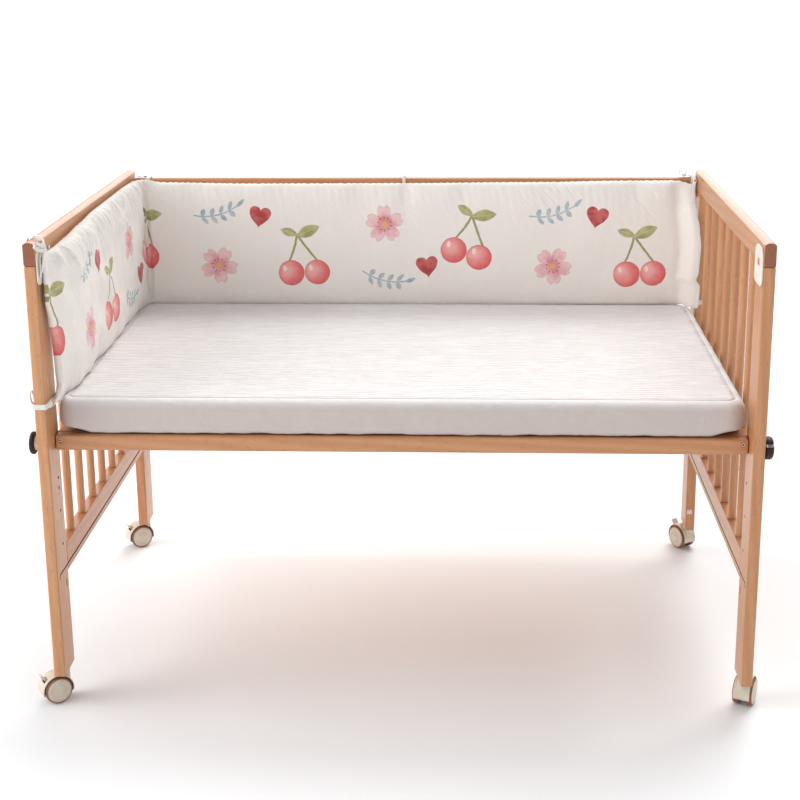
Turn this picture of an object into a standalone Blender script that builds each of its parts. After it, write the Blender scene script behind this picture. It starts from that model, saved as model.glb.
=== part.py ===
"""A padded crib bumper, tied along the left end and the back of a wooden crib with an open front.

X runs along the crib, Y from its open front to its back and Z up. Sizes and places are in millimetres,
measured from the floor, from the crib's middle across and from the front of its front posts. point()
turns them into metres, with the origin on the floor under the crib's middle.
"""

import math

import bpy
from mathutils import Vector

MM = 0.001

# Crib
LENGTH = 1240.0
DEPTH = 770.0
TOP = 852.0
BOARD = 20.0  # thickness of posts and rails
POST_DEPTH = 67.0
POST_FOOT = 57.0  # the posts end above the casters
RAIL_HEIGHT = 40.0
RAIL_CROWN = 4.0  # how far the rails' tops arch
LOW_RAIL = (236.0, 287.0)
BACK_TOP = 837.0
BACK_BARS = 14
END_BARS = 7
END_BAR_FIRST = 134.0
END_BAR_PITCH = 82.0
BAR_RADIUS = 7.5
BAR_SIDES = 12
BAR_SUNK = 8.0  # the back bars' ends inside its rails
FRONT_RAIL = ((39.4, 474.0), (59.4, 502.0))  # its low and high corner in Y and Z
BASE_TOP = 502.0
BASE_THICKNESS = 12.0
GAP = 0.3

# Guide groove, and the holes for the base's bolts, on the inner side of the end frames
GROOVE_Z = 248.4
GROOVE = 3.0
GROOVE_END = 13.6
GROOVE_TICK = 7.5
HOLE_Y = 46.0
HOLE_RADIUS = 3.0
HOLE_DEPTH = 9.0
HOLES = {"left": (421.0, 402.0, 359.0, 296.0), "right": (421.0, 359.0, 296.0)}
BOLT_SLOT = ((50.0, 211.0), (54.0, 225.0))  # low and high corner in Y and Z

# Fittings
PLATE = ((2.0, 777.5), (62.0, 842.5))  # low and high corner in Y and Z
PLATE_THICK = 3.0
PLATE_ROUND = (10.0, 18.0)  # the radius of its lower and its upper corners
KNOB_PLACE = (22.0, 494.0)
KNOB_FORM = (  # its rim and dome: radius, and how far out as a share of the head
    {"radius": 18.4, "out": 0.0},
    {"radius": 20.0, "out": 0.10},
    {"radius": 20.0, "out": 0.58},
    {"radius": 18.2, "out": 0.78},
    {"radius": 14.0, "out": 0.92},
    {"radius": 7.0, "out": 1.0},
)
KNOB_HEAD = {"left": 9.0, "right": 15.4}
KNOB_SLOT = (4.0, 9.2)  # wide, and how far above the knob's middle it lies on the right
KNOB_WEB = 2.2  # what is left of the head behind the slot
COLLAR_RADIUS = 13.0
COLLAR_THICK = {"left": 7.6, "right": 1.2}  # the right knob is screwed home
SCREW_RADIUS = 4.6
SCREW_SUNK = 2.4
SCREW_PLACE = (590.0, 492.5)
CAP = (11.0, 11.0, 1.4)  # square cap on the right back post: along X, up Z and thick
CAP_PLACE = (608.0, 102.0)

# Mattress in its fitted sheet
MATTRESS_LOW = (-597.0, 42.0, 502.3)
MATTRESS_HIGH = (597.0, 746.0, 566.0)
MATTRESS_CORNER = 34.0
MATTRESS_SHOULDER = 24.0
MATTRESS_UNDER = 10.0

# Bumper. along is measured on the frame from the pad's front end, and away from the frame inwards.
PAD_START = 17.0
PAD_BEND = 44.0
PAD_BACK = 4.2
PAD_SEAM = (9.0, 8.0)  # how far away the lower and the upper seam are
PAD_FOOT = 561.8
PAD_STEP = 23.0
PAD_FINE_STEP = 10.0
PAD_FINE = 60.0  # closer sections this near the ends and the corner
PAD_LEFT = DEPTH - BOARD - PAD_BEND  # where the left run meets the bend
PAD_ARC = PAD_BEND * math.pi / 2
PAD_X = PAD_LEFT + PAD_ARC - PAD_START + LENGTH / 2 - BOARD - PAD_BEND  # along, where X is 0
PAD_CORNER = PAD_LEFT + PAD_ARC / 2 - PAD_START
CREASE = (0.80, 0.42)  # what is left of the crown at the corner, at the foot and at the top
CREASE_WIDTH = 24.0
PAD_RUN = (  # along the pad, height of the upper seam, and how far away the front's crown is
    {"at": 0.0, "top": 829.0, "front": 19.0},
    {"at": 58.0, "top": 827.0, "front": 28.0},
    {"at": 138.0, "top": 829.0, "front": 36.0},
    {"at": 240.0, "top": 834.0, "front": 33.0},
    {"at": 350.0, "top": 839.0, "front": 30.0},
    {"at": 600.0, "top": 840.0, "front": 28.0},
    {"at": PAD_CORNER, "top": 837.0, "front": 30.0},
    {"at": PAD_X - 529.0, "top": 829.5, "front": 24.0},
    {"at": PAD_X - 346.0, "top": 827.0, "front": 26.0},
    {"at": PAD_X - 17.0, "top": 827.5, "front": 27.0},
    {"at": PAD_X + 291.0, "top": 829.5, "front": 31.0},
    {"at": PAD_X + 438.0, "top": 832.0, "front": 34.0},
    {"at": PAD_X + 563.0, "top": 832.5, "front": 34.0},
    {"at": PAD_X + 596.0, "top": 826.0, "front": 32.0},
)
PAD_FRONT_END = (  # up the front end of the left panel, Y of its edge
    {"at": 561.0, "y": 17.0},
    {"at": 576.0, "y": 42.0},
    {"at": 594.0, "y": 54.0},
    {"at": 617.0, "y": 49.0},
    {"at": 673.0, "y": 44.0},
    {"at": 711.0, "y": 32.0},
    {"at": 749.0, "y": 20.0},
    {"at": 829.0, "y": 22.0},
)
PAD_RIGHT_END = (  # up the right end, X of its edge, and how far it curls forward past the post
    {"at": 561.0, "x": 605.0, "curl": 48.0},
    {"at": 616.0, "x": 607.0, "curl": 48.0},
    {"at": 629.0, "x": 598.5, "curl": 48.0},
    {"at": 645.0, "x": 603.5, "curl": 48.0},
    {"at": 700.0, "x": 606.0, "curl": 48.0},
    {"at": 740.0, "x": 602.0, "curl": 48.0},
    {"at": 768.0, "x": 597.0, "curl": 40.0},
    {"at": 796.0, "x": 596.0, "curl": 24.0},
    {"at": 832.0, "x": 592.0, "curl": 0.0},
)
PAD_CURL_RUN = 44.0  # how far before its end the pad starts to curl
PAD_THIN = {"front": (70.0, 0.55), "right": (58.0, 0.22)}  # where it thins, and what the end keeps
PAD_FOLDS = (  # along the pad, depth of the trough, half width at the seam, how far it runs, its edge
    {"at": 20.0, "deep": 4.0, "half": 13.0, "runs": 0.55, "edge": "top"},
    {"at": 84.0, "deep": 4.5, "half": 15.0, "runs": 0.40, "edge": "top"},
    {"at": 196.0, "deep": 4.0, "half": 20.0, "runs": 0.30, "edge": "top"},
    {"at": 318.0, "deep": 5.0, "half": 22.0, "runs": 0.34, "edge": "top"},
    {"at": 436.0, "deep": 4.5, "half": 20.0, "runs": 0.28, "edge": "top"},
    {"at": 560.0, "deep": 5.5, "half": 22.0, "runs": 0.40, "edge": "top"},
    {"at": 650.0, "deep": 5.0, "half": 18.0, "runs": 0.30, "edge": "top"},
    {"at": 756.0, "deep": 6.0, "half": 16.0, "runs": 0.50, "edge": "top"},
    {"at": 850.0, "deep": 4.0, "half": 24.0, "runs": 0.30, "edge": "top"},
    {"at": 1036.0, "deep": 3.5, "half": 26.0, "runs": 0.24, "edge": "top"},
    {"at": 1200.0, "deep": 4.0, "half": 22.0, "runs": 0.30, "edge": "top"},
    {"at": 1302.0, "deep": 6.5, "half": 16.0, "runs": 0.44, "edge": "top"},
    {"at": 1422.0, "deep": 4.0, "half": 24.0, "runs": 0.30, "edge": "top"},
    {"at": 1604.0, "deep": 3.5, "half": 28.0, "runs": 0.24, "edge": "top"},
    {"at": 1788.0, "deep": 4.5, "half": 20.0, "runs": 0.32, "edge": "top"},
    {"at": 1872.0, "deep": 6.0, "half": 15.0, "runs": 0.50, "edge": "top"},
    {"at": 60.0, "deep": 5.0, "half": 18.0, "runs": 0.30, "edge": "foot"},
    {"at": 268.0, "deep": 4.0, "half": 30.0, "runs": 0.26, "edge": "foot"},
    {"at": 520.0, "deep": 4.0, "half": 34.0, "runs": 0.24, "edge": "foot"},
    {"at": 900.0, "deep": 3.5, "half": 40.0, "runs": 0.22, "edge": "foot"},
    {"at": 1450.0, "deep": 3.5, "half": 44.0, "runs": 0.22, "edge": "foot"},
    {"at": 1856.0, "deep": 5.0, "half": 20.0, "runs": 0.34, "edge": "foot"},
)
# Rows of points up the front, as shares of the height, and those that the back shares
PAD_ROWS = (0.0, 0.02, 0.06, 0.13, 0.2, 0.255, 0.32, 0.42, 0.52, 0.62, 0.71, 0.8, 0.88, 0.94, 0.98, 1.0)
PAD_BACK_ROWS = (2, 6, 9, 12)

# Ties
TAPE = 10.0
TAPE_THICK = 1.4
TAPE_CLEAR = 0.6  # between the tape and what it goes round
# The tape's section from its middle, as shares of its width and thickness. A band is creased.
FLAT = ((-0.5, -0.5), (0.5, -0.5), (0.5, 0.5), (-0.5, 0.5))
CREASED = ((-0.5, -0.5), (-0.1, -0.5), (0.0, -0.25), (0.1, -0.5), (0.5, -0.5))
CREASED += tuple((-a, -b) for a, b in CREASED)

# Casters, in a frame with its origin on the floor under the swivel and +X where the wheels trail
SWIVEL_Y = 33.6  # from the front, and as far from the back
TRAIL = 17.5
WHEEL_RADIUS = 25.0
WHEEL_SIDES = 20
WHEEL_PROFILE = (  # a wheel's radius across its width, from the middle outwards
    {"across": 6.4, "radius": 23.4},
    {"across": 7.6, "radius": 24.6},
    {"across": 9.4, "radius": 25.0},
    {"across": 15.0, "radius": 25.0},
    {"across": 16.8, "radius": 24.0},
    {"across": 17.6, "radius": 21.8},
    {"across": 16.6, "radius": 19.6},
    {"across": 17.6, "radius": 18.8},
    {"across": 18.2, "radius": 12.0},
)
AXLE_RADIUS = 3.0
BORE_RADIUS = 3.7
HOOD_RADIUS = 29.0
HOOD_INNER = 26.3
HOOD_HALF = 14.6
HOOD_ARC = (-14.0, 200.0)  # degrees round the axle, from where the wheels trail
WEB_HALF = 5.8
COLLAR = (9.5, 30.0)  # the swivel collar's radius and lower end
PIVOT = (13.5, 46.0)  # the brake pedal's pivot, from the axle: reach and angle
PIVOT_RADIUS = 3.0
PIVOT_BORE = 3.7
PEDAL_ARM = (5.0, 1.8)  # half its width and half its thickness
PEDAL_TAB = (6.5, 31.0, 41.0, 3.2)  # half its width, where it starts and ends, and its thickness
PEDAL_SLOT = (7.4, 7.0, 3.0)  # half its width, and at the rim its room below and above the arm
CASTERS = (  # which post stands on it, and the angle that its wheels trail at
    {"name": "front_left", "side": -1, "back": False, "trails": 214.0},
    {"name": "front_right", "side": 1, "back": False, "trails": 66.0},
    {"name": "back_left", "side": -1, "back": True, "trails": 214.0},
    {"name": "back_right", "side": 1, "back": True, "trails": 122.0},
)

INNER = LENGTH / 2 - BOARD  # the inner faces of the end frames
MIDDLE_X = LENGTH / 2 - BOARD / 2  # the middle of an end frame's thickness
BACK_FACE = DEPTH - BOARD  # the inner face of the back frame
RAIL_LOW = TOP - RAIL_HEIGHT
SIDES = (("left", -1), ("right", 1))


def point(x, y, z):
    return Vector((x, y - DEPTH / 2, z)) * MM


def clear_scene():
    for old in list(bpy.data.objects):
        bpy.data.objects.remove(old)


def material(name, colour, roughness):
    made = bpy.data.materials.new(name)
    made.use_nodes = True
    made.diffuse_color = (*colour, 1.0)
    shader = made.node_tree.nodes["Principled BSDF"]
    shader.inputs["Base Color"].default_value = (*colour, 1.0)
    shader.inputs["Roughness"].default_value = roughness
    return made


# Shapes


def add(name, points, faces, finish, smooth=False):
    """A mesh object from points in metres."""
    mesh = bpy.data.meshes.new(name)
    mesh.from_pydata([tuple(p) for p in points], [], faces)
    mesh.materials.append(finish)
    if smooth:
        mesh.shade_smooth()
        mesh.set_sharp_from_angle(angle=math.radians(40))
    made = bpy.data.objects.new(name, mesh)
    bpy.context.scene.collection.objects.link(made)
    return made


def place(piece, origin):
    """Gives the piece its origin there, without moving its shape."""
    for vertex in piece.data.vertices:
        vertex.co -= origin
    piece.location = origin
    return piece


def boolean(piece, other, operation="DIFFERENCE"):
    other.hide_render = True
    other.display_type = "WIRE"
    made = piece.modifiers.new(other.name, "BOOLEAN")
    made.operation = operation
    made.object = other
    return piece


def round_edges(piece, width, segments=1):
    made = piece.modifiers.new("edges", "BEVEL")
    made.width = width * MM
    made.segments = segments
    made.limit_method = "ANGLE"
    made.angle_limit = math.radians(50)
    return piece


def made_whole(piece):
    """The piece's mesh with its modifiers applied, taken out of the scene with its helpers."""
    bpy.context.view_layer.update()
    graph = bpy.context.evaluated_depsgraph_get()
    mesh = bpy.data.meshes.new_from_object(piece.evaluated_get(graph))
    others = [m.object for m in piece.modifiers if m.type == "BOOLEAN"]
    for old in [*others, piece]:
        bpy.data.objects.remove(old)
    return mesh


def shell(rings, at=point, closed=False):
    """The points and faces of a body through rings of spots, with flat ends unless it closes on itself."""
    n = len(rings[0])
    points = [at(*spot) for ring in rings for spot in ring]
    faces = []
    for k in range(len(rings) - (not closed)):
        a, b = k * n, (k + 1) % len(rings) * n
        faces += [(a + i, a + (i + 1) % n, b + (i + 1) % n, b + i) for i in range(n)]
    if not closed:
        faces.append(tuple(range(n - 1, -1, -1)))
        faces.append(tuple(range(len(points) - n, len(points))))
    return points, faces


def prism(name, outline, start, end, along, finish, smooth=False, at=point):
    """An outline drawn in a plane and extruded along an axis. It runs counter-clockwise seen from the
    axis's far end. Along Y it is drawn as (Z, X), along X as (Y, Z) and along Z as (X, Y)."""
    lift = {
        "X": lambda a, b, t: (t, a, b),
        "Y": lambda a, b, t: (b, t, a),
        "Z": lambda a, b, t: (a, b, t),
    }[along]
    rings = [[lift(a, b, t) for a, b in outline] for t in (start, end)]
    return add(name, *shell(rings, at), finish, smooth)


def board(name, low, high, finish, edge=0.0):
    outline = [(low[0], low[1]), (high[0], low[1]), (high[0], high[1]), (low[0], high[1])]
    made = prism(name, outline, low[2], high[2], "Z", finish)
    place(made, point(*[(a + b) / 2 for a, b in zip(low, high)]))
    return round_edges(made, edge) if edge else made


def arc(radius, steps, centre, first, last):
    """Points on an arc, with both its ends."""
    angles = [math.radians(first + (last - first) * i / steps) for i in range(steps + 1)]
    return [(centre[0] + radius * math.cos(a), centre[1] + radius * math.sin(a)) for a in angles]


def circle(radius, sides, centre=(0.0, 0.0)):
    """Points on a whole circle, with a flat side at the bottom."""
    turn = 180.0 / sides - 90.0
    return arc(radius, sides, centre, turn, turn + 360.0)[:-1]


def turned(outline):
    """An outline in X and Z, the other way round and as a prism along Y takes it."""
    return [(z, x) for x, z in reversed(outline)]


def rod(name, x, y, low, high, radius, finish):
    made = prism(name, circle(radius, BAR_SIDES, (x, y)), low, high, "Z", finish, True)
    return place(made, point(x, y, (low + high) / 2))


def rail_top(low, high, top, steps=6):
    """The outline of a rail's arched top, from its high to its low side."""
    half = (high - low) / 2
    radius = (half**2 + RAIL_CROWN**2) / (2 * RAIL_CROWN)
    reach = math.degrees(math.asin(half / radius))
    return arc(radius, steps, ((low + high) / 2, top - radius), 90.0 - reach, 90.0 + reach)


# Crib


def post(side_name, side, back, finish):
    """A post. The front ones have the guide groove and the bolt holes on their inner side."""
    name = f"{'back' if back else 'front'}_{side_name}_post"
    start, end = (DEPTH - POST_DEPTH, DEPTH) if back else (0.0, POST_DEPTH)
    outer, inner = sorted((side * LENGTH / 2, side * INNER))
    made = board(name, (outer, start, POST_FOOT), (inner, end, RAIL_LOW - GAP), finish, 2.0)
    if back:
        return made

    def sunk(deep):
        return sorted((side * (INNER - deep), side * (INNER + deep)))

    near, far = sunk(GROOVE)
    low, high = GROOVE_Z - GROOVE / 2, GROOVE_Z + GROOVE / 2
    cuts = {
        "groove": ((GROOVE_END, low), (POST_DEPTH + GROOVE, high)),
        "groove_end": ((GROOVE_END, low - GROOVE_TICK), (GROOVE_END + GROOVE, high - GAP)),
    }
    for cut, (first, last) in cuts.items():
        boolean(made, board(f"{name}_{cut}", (near, *first), (far, *last), finish))
    near, far = sunk(HOLE_DEPTH)
    boolean(made, board(f"{name}_slot", (near, *BOLT_SLOT[0]), (far, *BOLT_SLOT[1]), finish))
    for z in HOLES[side_name]:
        outline = circle(HOLE_RADIUS, 10, (HOLE_Y, z))
        boolean(made, prism(f"{name}_hole_{z:.0f}", outline, near, far, "X", finish))
    return made


def top_rail(name, x, finish):
    """A rail with an arched top, along an end of the crib."""
    half = BOARD / 2
    outline = [(x + half, RAIL_LOW), *rail_top(x - half, x + half, TOP), (x - half, RAIL_LOW)]
    made = prism(name, turned(outline), 0.0, DEPTH, "Y", finish, True)
    return place(made, point(x, DEPTH / 2, TOP - RAIL_HEIGHT / 2))


def low_rail(name, side, finish):
    """The lower rail of an end frame, with the guide groove along its inner face."""
    low, high = LOW_RAIL
    face, outer = side * INNER, side * LENGTH / 2
    bottom, top = GROOVE_Z - GROOVE / 2, GROOVE_Z + GROOVE / 2
    sunk = face + side * GROOVE
    outline = [(low, outer), (low, face), (bottom, face), (bottom, sunk)]
    outline += [(top, sunk), (top, face), (high, face), (high, outer)]
    if side < 0:
        outline.reverse()
    ends = (POST_DEPTH + GAP, DEPTH - POST_DEPTH - GAP)
    made = prism(name, outline, *ends, "Y", finish)
    return place(made, point(side * MIDDLE_X, DEPTH / 2, (low + high) / 2))


def back_frame(finish):
    """The back's two rails with their round bars, as one piece."""
    reach = INNER - GAP
    low, high = LOW_RAIL
    made = board("back_frame", (-reach, BACK_FACE, low), (reach, DEPTH, high), finish)
    rail_low = BACK_TOP - RAIL_HEIGHT
    outline = [(BACK_FACE, rail_low), (DEPTH, rail_low), *rail_top(BACK_FACE, DEPTH, BACK_TOP)]
    rail = prism("back_rail_form", outline, -reach, reach, "X", finish, True)
    pitch = 2 * INNER / (BACK_BARS + 1)
    for i in range(BACK_BARS):
        x = -INNER + pitch * (i + 1)
        ends = (high - BAR_SUNK, rail_low + BAR_SUNK)
        bar = rod(f"back_bar_form_{i + 1}", x, BACK_FACE + BOARD / 2, *ends, BAR_RADIUS, finish)
        boolean(made, bar, "UNION")
    return boolean(made, rail, "UNION")


def front_rail(finish, metal):
    """The rail under the open front, with a sunk screw at each end."""
    (low_y, low_z), (high_y, high_z) = FRONT_RAIL
    reach = INNER - GAP
    made = board("front_rail", (-reach, low_y, low_z), (reach, high_y, high_z), finish, 3.0)
    for side_name, side in SIDES:
        x, z = side * SCREW_PLACE[0], SCREW_PLACE[1]
        sink = turned(circle(SCREW_RADIUS + GAP, 14, (x, z)))
        ends = (low_y - SCREW_SUNK, low_y + SCREW_SUNK)
        boolean(made, prism(f"{side_name}_screw_sink", sink, *ends, "Y", finish))
        head = turned(circle(SCREW_RADIUS, 14, (x, z)))
        ends = (low_y + SCREW_SUNK / 4, low_y + SCREW_SUNK - GAP)
        place(prism(f"{side_name}_screw", head, *ends, "Y", metal, True), point(x, low_y, z))
    return made


def knob(side_name, side, finish, pale):
    """A hand knob on the outer side of a front post: a pale collar against the wood, then its domed
    head, which has a slot across it. The left one's slot stands upright."""
    y, z = KNOB_PLACE
    face = side * (LENGTH / 2 + GAP)
    neck = face + side * COLLAR_THICK[side_name]
    head = neck + side * GAP
    thick = KNOB_HEAD[side_name]
    outline = circle(COLLAR_RADIUS, 20, (y, z))
    made = prism(f"{side_name}_knob_collar", outline, *sorted((face, neck)), "X", pale, True)
    place(made, point(face, y, z))
    rows = KNOB_FORM if side > 0 else KNOB_FORM[::-1]
    rings = []
    for row in rows:
        x = head + side * thick * row["out"]
        rings.append([(x, a, b) for a, b in circle(row["radius"], 20, (y, z))])
    made = place(add(f"{side_name}_knob", *shell(rings), finish, True), point(head, y, z))
    wide, above = KNOB_SLOT
    far = 2 * KNOB_FORM[1]["radius"]
    across, up = (wide / 2, far) if side < 0 else (far, wide / 2)
    level = z if side < 0 else z + above
    near, out = sorted((head + side * KNOB_WEB, head + side * 2 * thick))
    low, high = (near, y - across, level - up), (out, y + across, level + up)
    return boolean(made, board(f"{side_name}_knob_slot", low, high, finish))


def plate_outline():
    """The catch plate's outline in Y and Z, with its upper corners rounder than its lower ones."""
    (low_y, low_z), (high_y, high_z) = PLATE
    lower, upper = PLATE_ROUND
    spots = arc(lower, 3, (high_y - lower, low_z + lower), -90.0, 0.0)
    spots += arc(upper, 5, (high_y - upper, high_z - upper), 0.0, 90.0)
    spots += arc(upper, 5, (low_y + upper, high_z - upper), 90.0, 180.0)
    return [*spots, *arc(lower, 3, (low_y + lower, low_z + lower), 180.0, 270.0)]


def crib(wood, plastic, black, metal):
    for side_name, side in SIDES:
        for back in (False, True):
            post(side_name, side, back, wood)
        top_rail(f"{side_name}_top_rail", side * MIDDLE_X, wood)
        low_rail(f"{side_name}_low_rail", side, wood)
        for i in range(END_BARS):
            y = END_BAR_FIRST + END_BAR_PITCH * i
            ends = (LOW_RAIL[1] + GAP, RAIL_LOW - GAP)
            rod(f"{side_name}_bar_{i + 1}", side * MIDDLE_X, y, *ends, BAR_RADIUS, wood)
        ends = sorted((side * (INNER - GAP), side * (INNER - GAP - PLATE_THICK)))
        prism(f"{side_name}_catch_plate", plate_outline(), *ends, "X", plastic)
        knob(side_name, side, black, plastic)
    back_frame(wood)
    front_rail(wood, metal)
    reach = INNER - GAP
    low = (-reach, FRONT_RAIL[1][0] + GAP, BASE_TOP - BASE_THICKNESS)
    board("mattress_base", low, (reach, BACK_FACE - GAP, BASE_TOP), wood)
    wide, up, thick = CAP
    x, z = CAP_PLACE
    face = DEPTH - POST_DEPTH - GAP
    low, high = (x - wide / 2, face - thick, z - up / 2), (x + wide / 2, face, z + up / 2)
    board("post_cap", low, high, plastic, 0.4)


# Mattress


def mattress(finish):
    """A slab with round corners in plan and a round shoulder above and below."""
    low, high = MATTRESS_LOW, MATTRESS_HIGH
    middle = [(a + b) / 2 for a, b in zip(low, high)]
    half = [(b - a) / 2 for a, b in zip(low, high)]
    corner_steps, shoulder_steps = 5, 4

    def ring(inset, z):
        radius = max(MATTRESS_CORNER - inset, 4.0)
        reach = [h - inset - radius for h in half]
        spots = []
        for quarter, (sx, sy) in enumerate(((1, 1), (-1, 1), (-1, -1), (1, -1))):
            centre = (middle[0] + sx * reach[0], middle[1] + sy * reach[1])
            turn = 90.0 * quarter
            spots += [(x, y, z) for x, y in arc(radius, corner_steps, centre, turn, turn + 90.0)]
        return spots

    turns = [math.radians(90.0 * i / shoulder_steps) for i in range(shoulder_steps + 1)]
    rings = []
    for a in turns:
        rise = MATTRESS_UNDER * (1 - math.cos(a))
        rings.append(ring(MATTRESS_UNDER * (1 - math.sin(a)), low[2] + rise))
    for a in turns:
        drop = MATTRESS_SHOULDER * (1 - math.sin(a))
        rings.append(ring(MATTRESS_SHOULDER * (1 - math.cos(a)), high[2] - drop))
    return add("mattress", *shell(rings), finish, True)


# Bumper


def smooth_step(t):
    t = min(max(t, 0.0), 1.0)
    return t * t * (3 - 2 * t)


def read_row(rows, key, at):
    """The smooth value between the rows on either side of that place."""
    for a, b in zip(rows, rows[1:]):
        if at <= b["at"]:
            return a[key] + (b[key] - a[key]) * smooth_step((at - a["at"]) / (b["at"] - a["at"]))
    return rows[-1][key]


def pad_place(along, away, z):
    """Where a spot of the pad is in the crib."""
    y = PAD_START + along
    if y < PAD_LEFT:
        return point(-INNER + away, y, z)
    if y < PAD_LEFT + PAD_ARC:
        angle = (y - PAD_LEFT) / PAD_BEND
        radius = PAD_BEND - away
        x = -INNER + PAD_BEND - radius * math.cos(angle)
        return point(x, PAD_LEFT + radius * math.sin(angle), z)
    return point(along - PAD_X, BACK_FACE - away, z)


def crown(up):
    """How full the pad is between its lower seam (0) and its upper seam (1)."""
    return max(1 - abs(2 * up - 1) ** 7, 0.0) ** 0.42


def folds_at(along, up):
    """The depth of the troughs that run into the front from its seams."""
    depth = 0.0
    for fold in PAD_FOLDS:
        reach = (1 - up if fold["edge"] == "top" else up) / fold["runs"]
        if reach < 1:
            half = fold["half"] * (1 + 0.6 * reach)
            depth += fold["deep"] * (1 - reach) * math.exp(-(((along - fold["at"]) / half) ** 2))
    return depth


def pad_thickness(from_front, from_right):
    """The pad thins towards its two ends."""
    left = 1.0
    for end, distance in (("front", from_front), ("right", from_right)):
        run, least = PAD_THIN[end]
        left = min(left, least + (1 - least) * smooth_step(distance / run))
    return left


def pad_reach(share, z):
    """Along the pad there, how far it is from the right end, and how far it has curled forward."""
    first = read_row(PAD_FRONT_END, "y", z) - PAD_START
    last = PAD_X + read_row(PAD_RIGHT_END, "x", z)
    along = first + (last - first) * share
    curled = smooth_step((PAD_CURL_RUN - (last - along)) / (PAD_CURL_RUN - 8.0))
    return along, along - first, last - along, curled


def pad_section(share):
    """One section of the pad, from its foot up the front and down the back."""
    top = read_row(PAD_RUN, "top", share * (PAD_X + INNER))
    lifted = min(pad_reach(share, PAD_FOOT)[3] * 6, 1.0)  # it lies on the mattress where it curls
    foot = PAD_FOOT + (MATTRESS_HIGH[2] + 1.0 - PAD_FOOT) * lifted
    front, back = [], []
    for k, up in enumerate(PAD_ROWS):
        z = foot + (top - foot) * up
        along, from_front, from_right, curled = pad_reach(share, z)
        shift = read_row(PAD_RIGHT_END, "curl", z) * curled
        seam = PAD_SEAM[0] + (PAD_SEAM[1] - PAD_SEAM[0]) * up
        full = crown(up) * pad_thickness(from_front, from_right)
        behind = seam - (seam - PAD_BACK) * full
        left_at_corner = CREASE[0] + (CREASE[1] - CREASE[0]) * up
        near_corner = math.exp(-(((along - PAD_CORNER) / CREASE_WIDTH) ** 2))
        crowned = read_row(PAD_RUN, "front", along) - seam
        away = seam + crowned * full * (1 - (1 - left_at_corner) * near_corner)
        away = max(away - folds_at(along, up) * min(full * 2, 1.0), behind + 3.0 * min(full * 3, 1.0))
        front.append(pad_place(along, away + shift, z))
        if k in PAD_BACK_ROWS:
            back.append(pad_place(along, behind + shift, z))
    return [*front, *reversed(back)]


def pad_end(first, backwards):
    """The faces that close an end: each spans from a row of the back to the next."""
    n_front, n_back = len(PAD_ROWS), len(PAD_BACK_ROWS)
    behind = {row: first + n_front + n_back - 1 - i for i, row in enumerate(PAD_BACK_ROWS)}
    knots = [0, *PAD_BACK_ROWS, n_front - 1]
    faces = []
    for low, high in zip(knots, knots[1:]):
        face = [first + k for k in range(low, high + 1)]
        face += [behind[k] for k in (high, low) if k in behind]
        faces.append(tuple(reversed(face)) if backwards else tuple(face))
    return faces


def bumper(finish):
    """One pad, bent round the crib's corner: crowned in front, drawn in at its seams, ends and corner."""
    length = PAD_X + INNER
    places = [0.0]
    while places[-1] < length:
        at = places[-1]
        near = min(at, length - at, abs(at - PAD_CORNER)) < PAD_FINE
        places.append(at + (PAD_FINE_STEP if near else PAD_STEP))
    sections = [pad_section(at / places[-1]) for at in places]
    n = len(sections[0])
    faces = []
    for k in range(len(sections) - 1):
        a, b = k * n, (k + 1) * n
        faces += [(a + i, b + i, b + (i + 1) % n, a + (i + 1) % n) for i in range(n)]
    faces += pad_end(0, False)
    faces += pad_end((len(sections) - 1) * n, True)
    return add("bumper", [p for section in sections for p in section], faces, finish, True)


# Ties

ALONG_X, ALONG_Y, ALONG_Z = (1.0, 0.0, 0.0), (0.0, 1.0, 0.0), (0.0, 0.0, 1.0)


def through(spots, per=4):
    """A smooth curve through the spots, as a list of points."""
    spots = [Vector(spot) for spot in spots]
    line = []
    for i in range(len(spots) - 1):
        p0, p1 = spots[max(i - 1, 0)], spots[i]
        p2, p3 = spots[i + 1], spots[min(i + 2, len(spots) - 1)]
        for k in range(per):
            t = k / per
            bent = (2 * p0 - 5 * p1 + 4 * p2 - p3) * t * t + (3 * p1 - p0 - 3 * p2 + p3) * t**3
            line.append(0.5 * (2 * p1 + (p2 - p0) * t + bent))
    return [*line, spots[-1]]


def ribbon(name, line, across, finish, wide=TAPE, closed=False):
    """Flat tape along a line. across is the direction of its width."""
    rings = []
    n = len(line)
    for i, p in enumerate(line):
        after = line[(i + 1) % n] if closed else line[min(i + 1, n - 1)]
        before = line[i - 1] if closed else line[max(i - 1, 0)]
        ahead = (after - before).normalized()
        aside = (Vector(across) - ahead * Vector(across).dot(ahead)).normalized()
        normal = ahead.cross(aside)
        section = CREASED if closed else FLAT
        rings.append([p + aside * wide * a + normal * TAPE_THICK * b for a, b in section])
    return add(name, *shell(rings, closed=closed), finish)


def around(low, high, lift, corner_steps=2):
    """A closed path just outside a rectangle. lift turns the rectangle's two measures into a spot."""
    turn = TAPE_CLEAR + TAPE_THICK / 2
    path = []
    corners = ((high[0], low[1], -90), (high[0], high[1], 0), (low[0], high[1], 90), (low[0], low[1], 180))
    for a, b, start in corners:
        path += arc(turn, corner_steps, (a, b), start, start + 90)
    return [Vector(lift(a, b)) for a, b in path]


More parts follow.
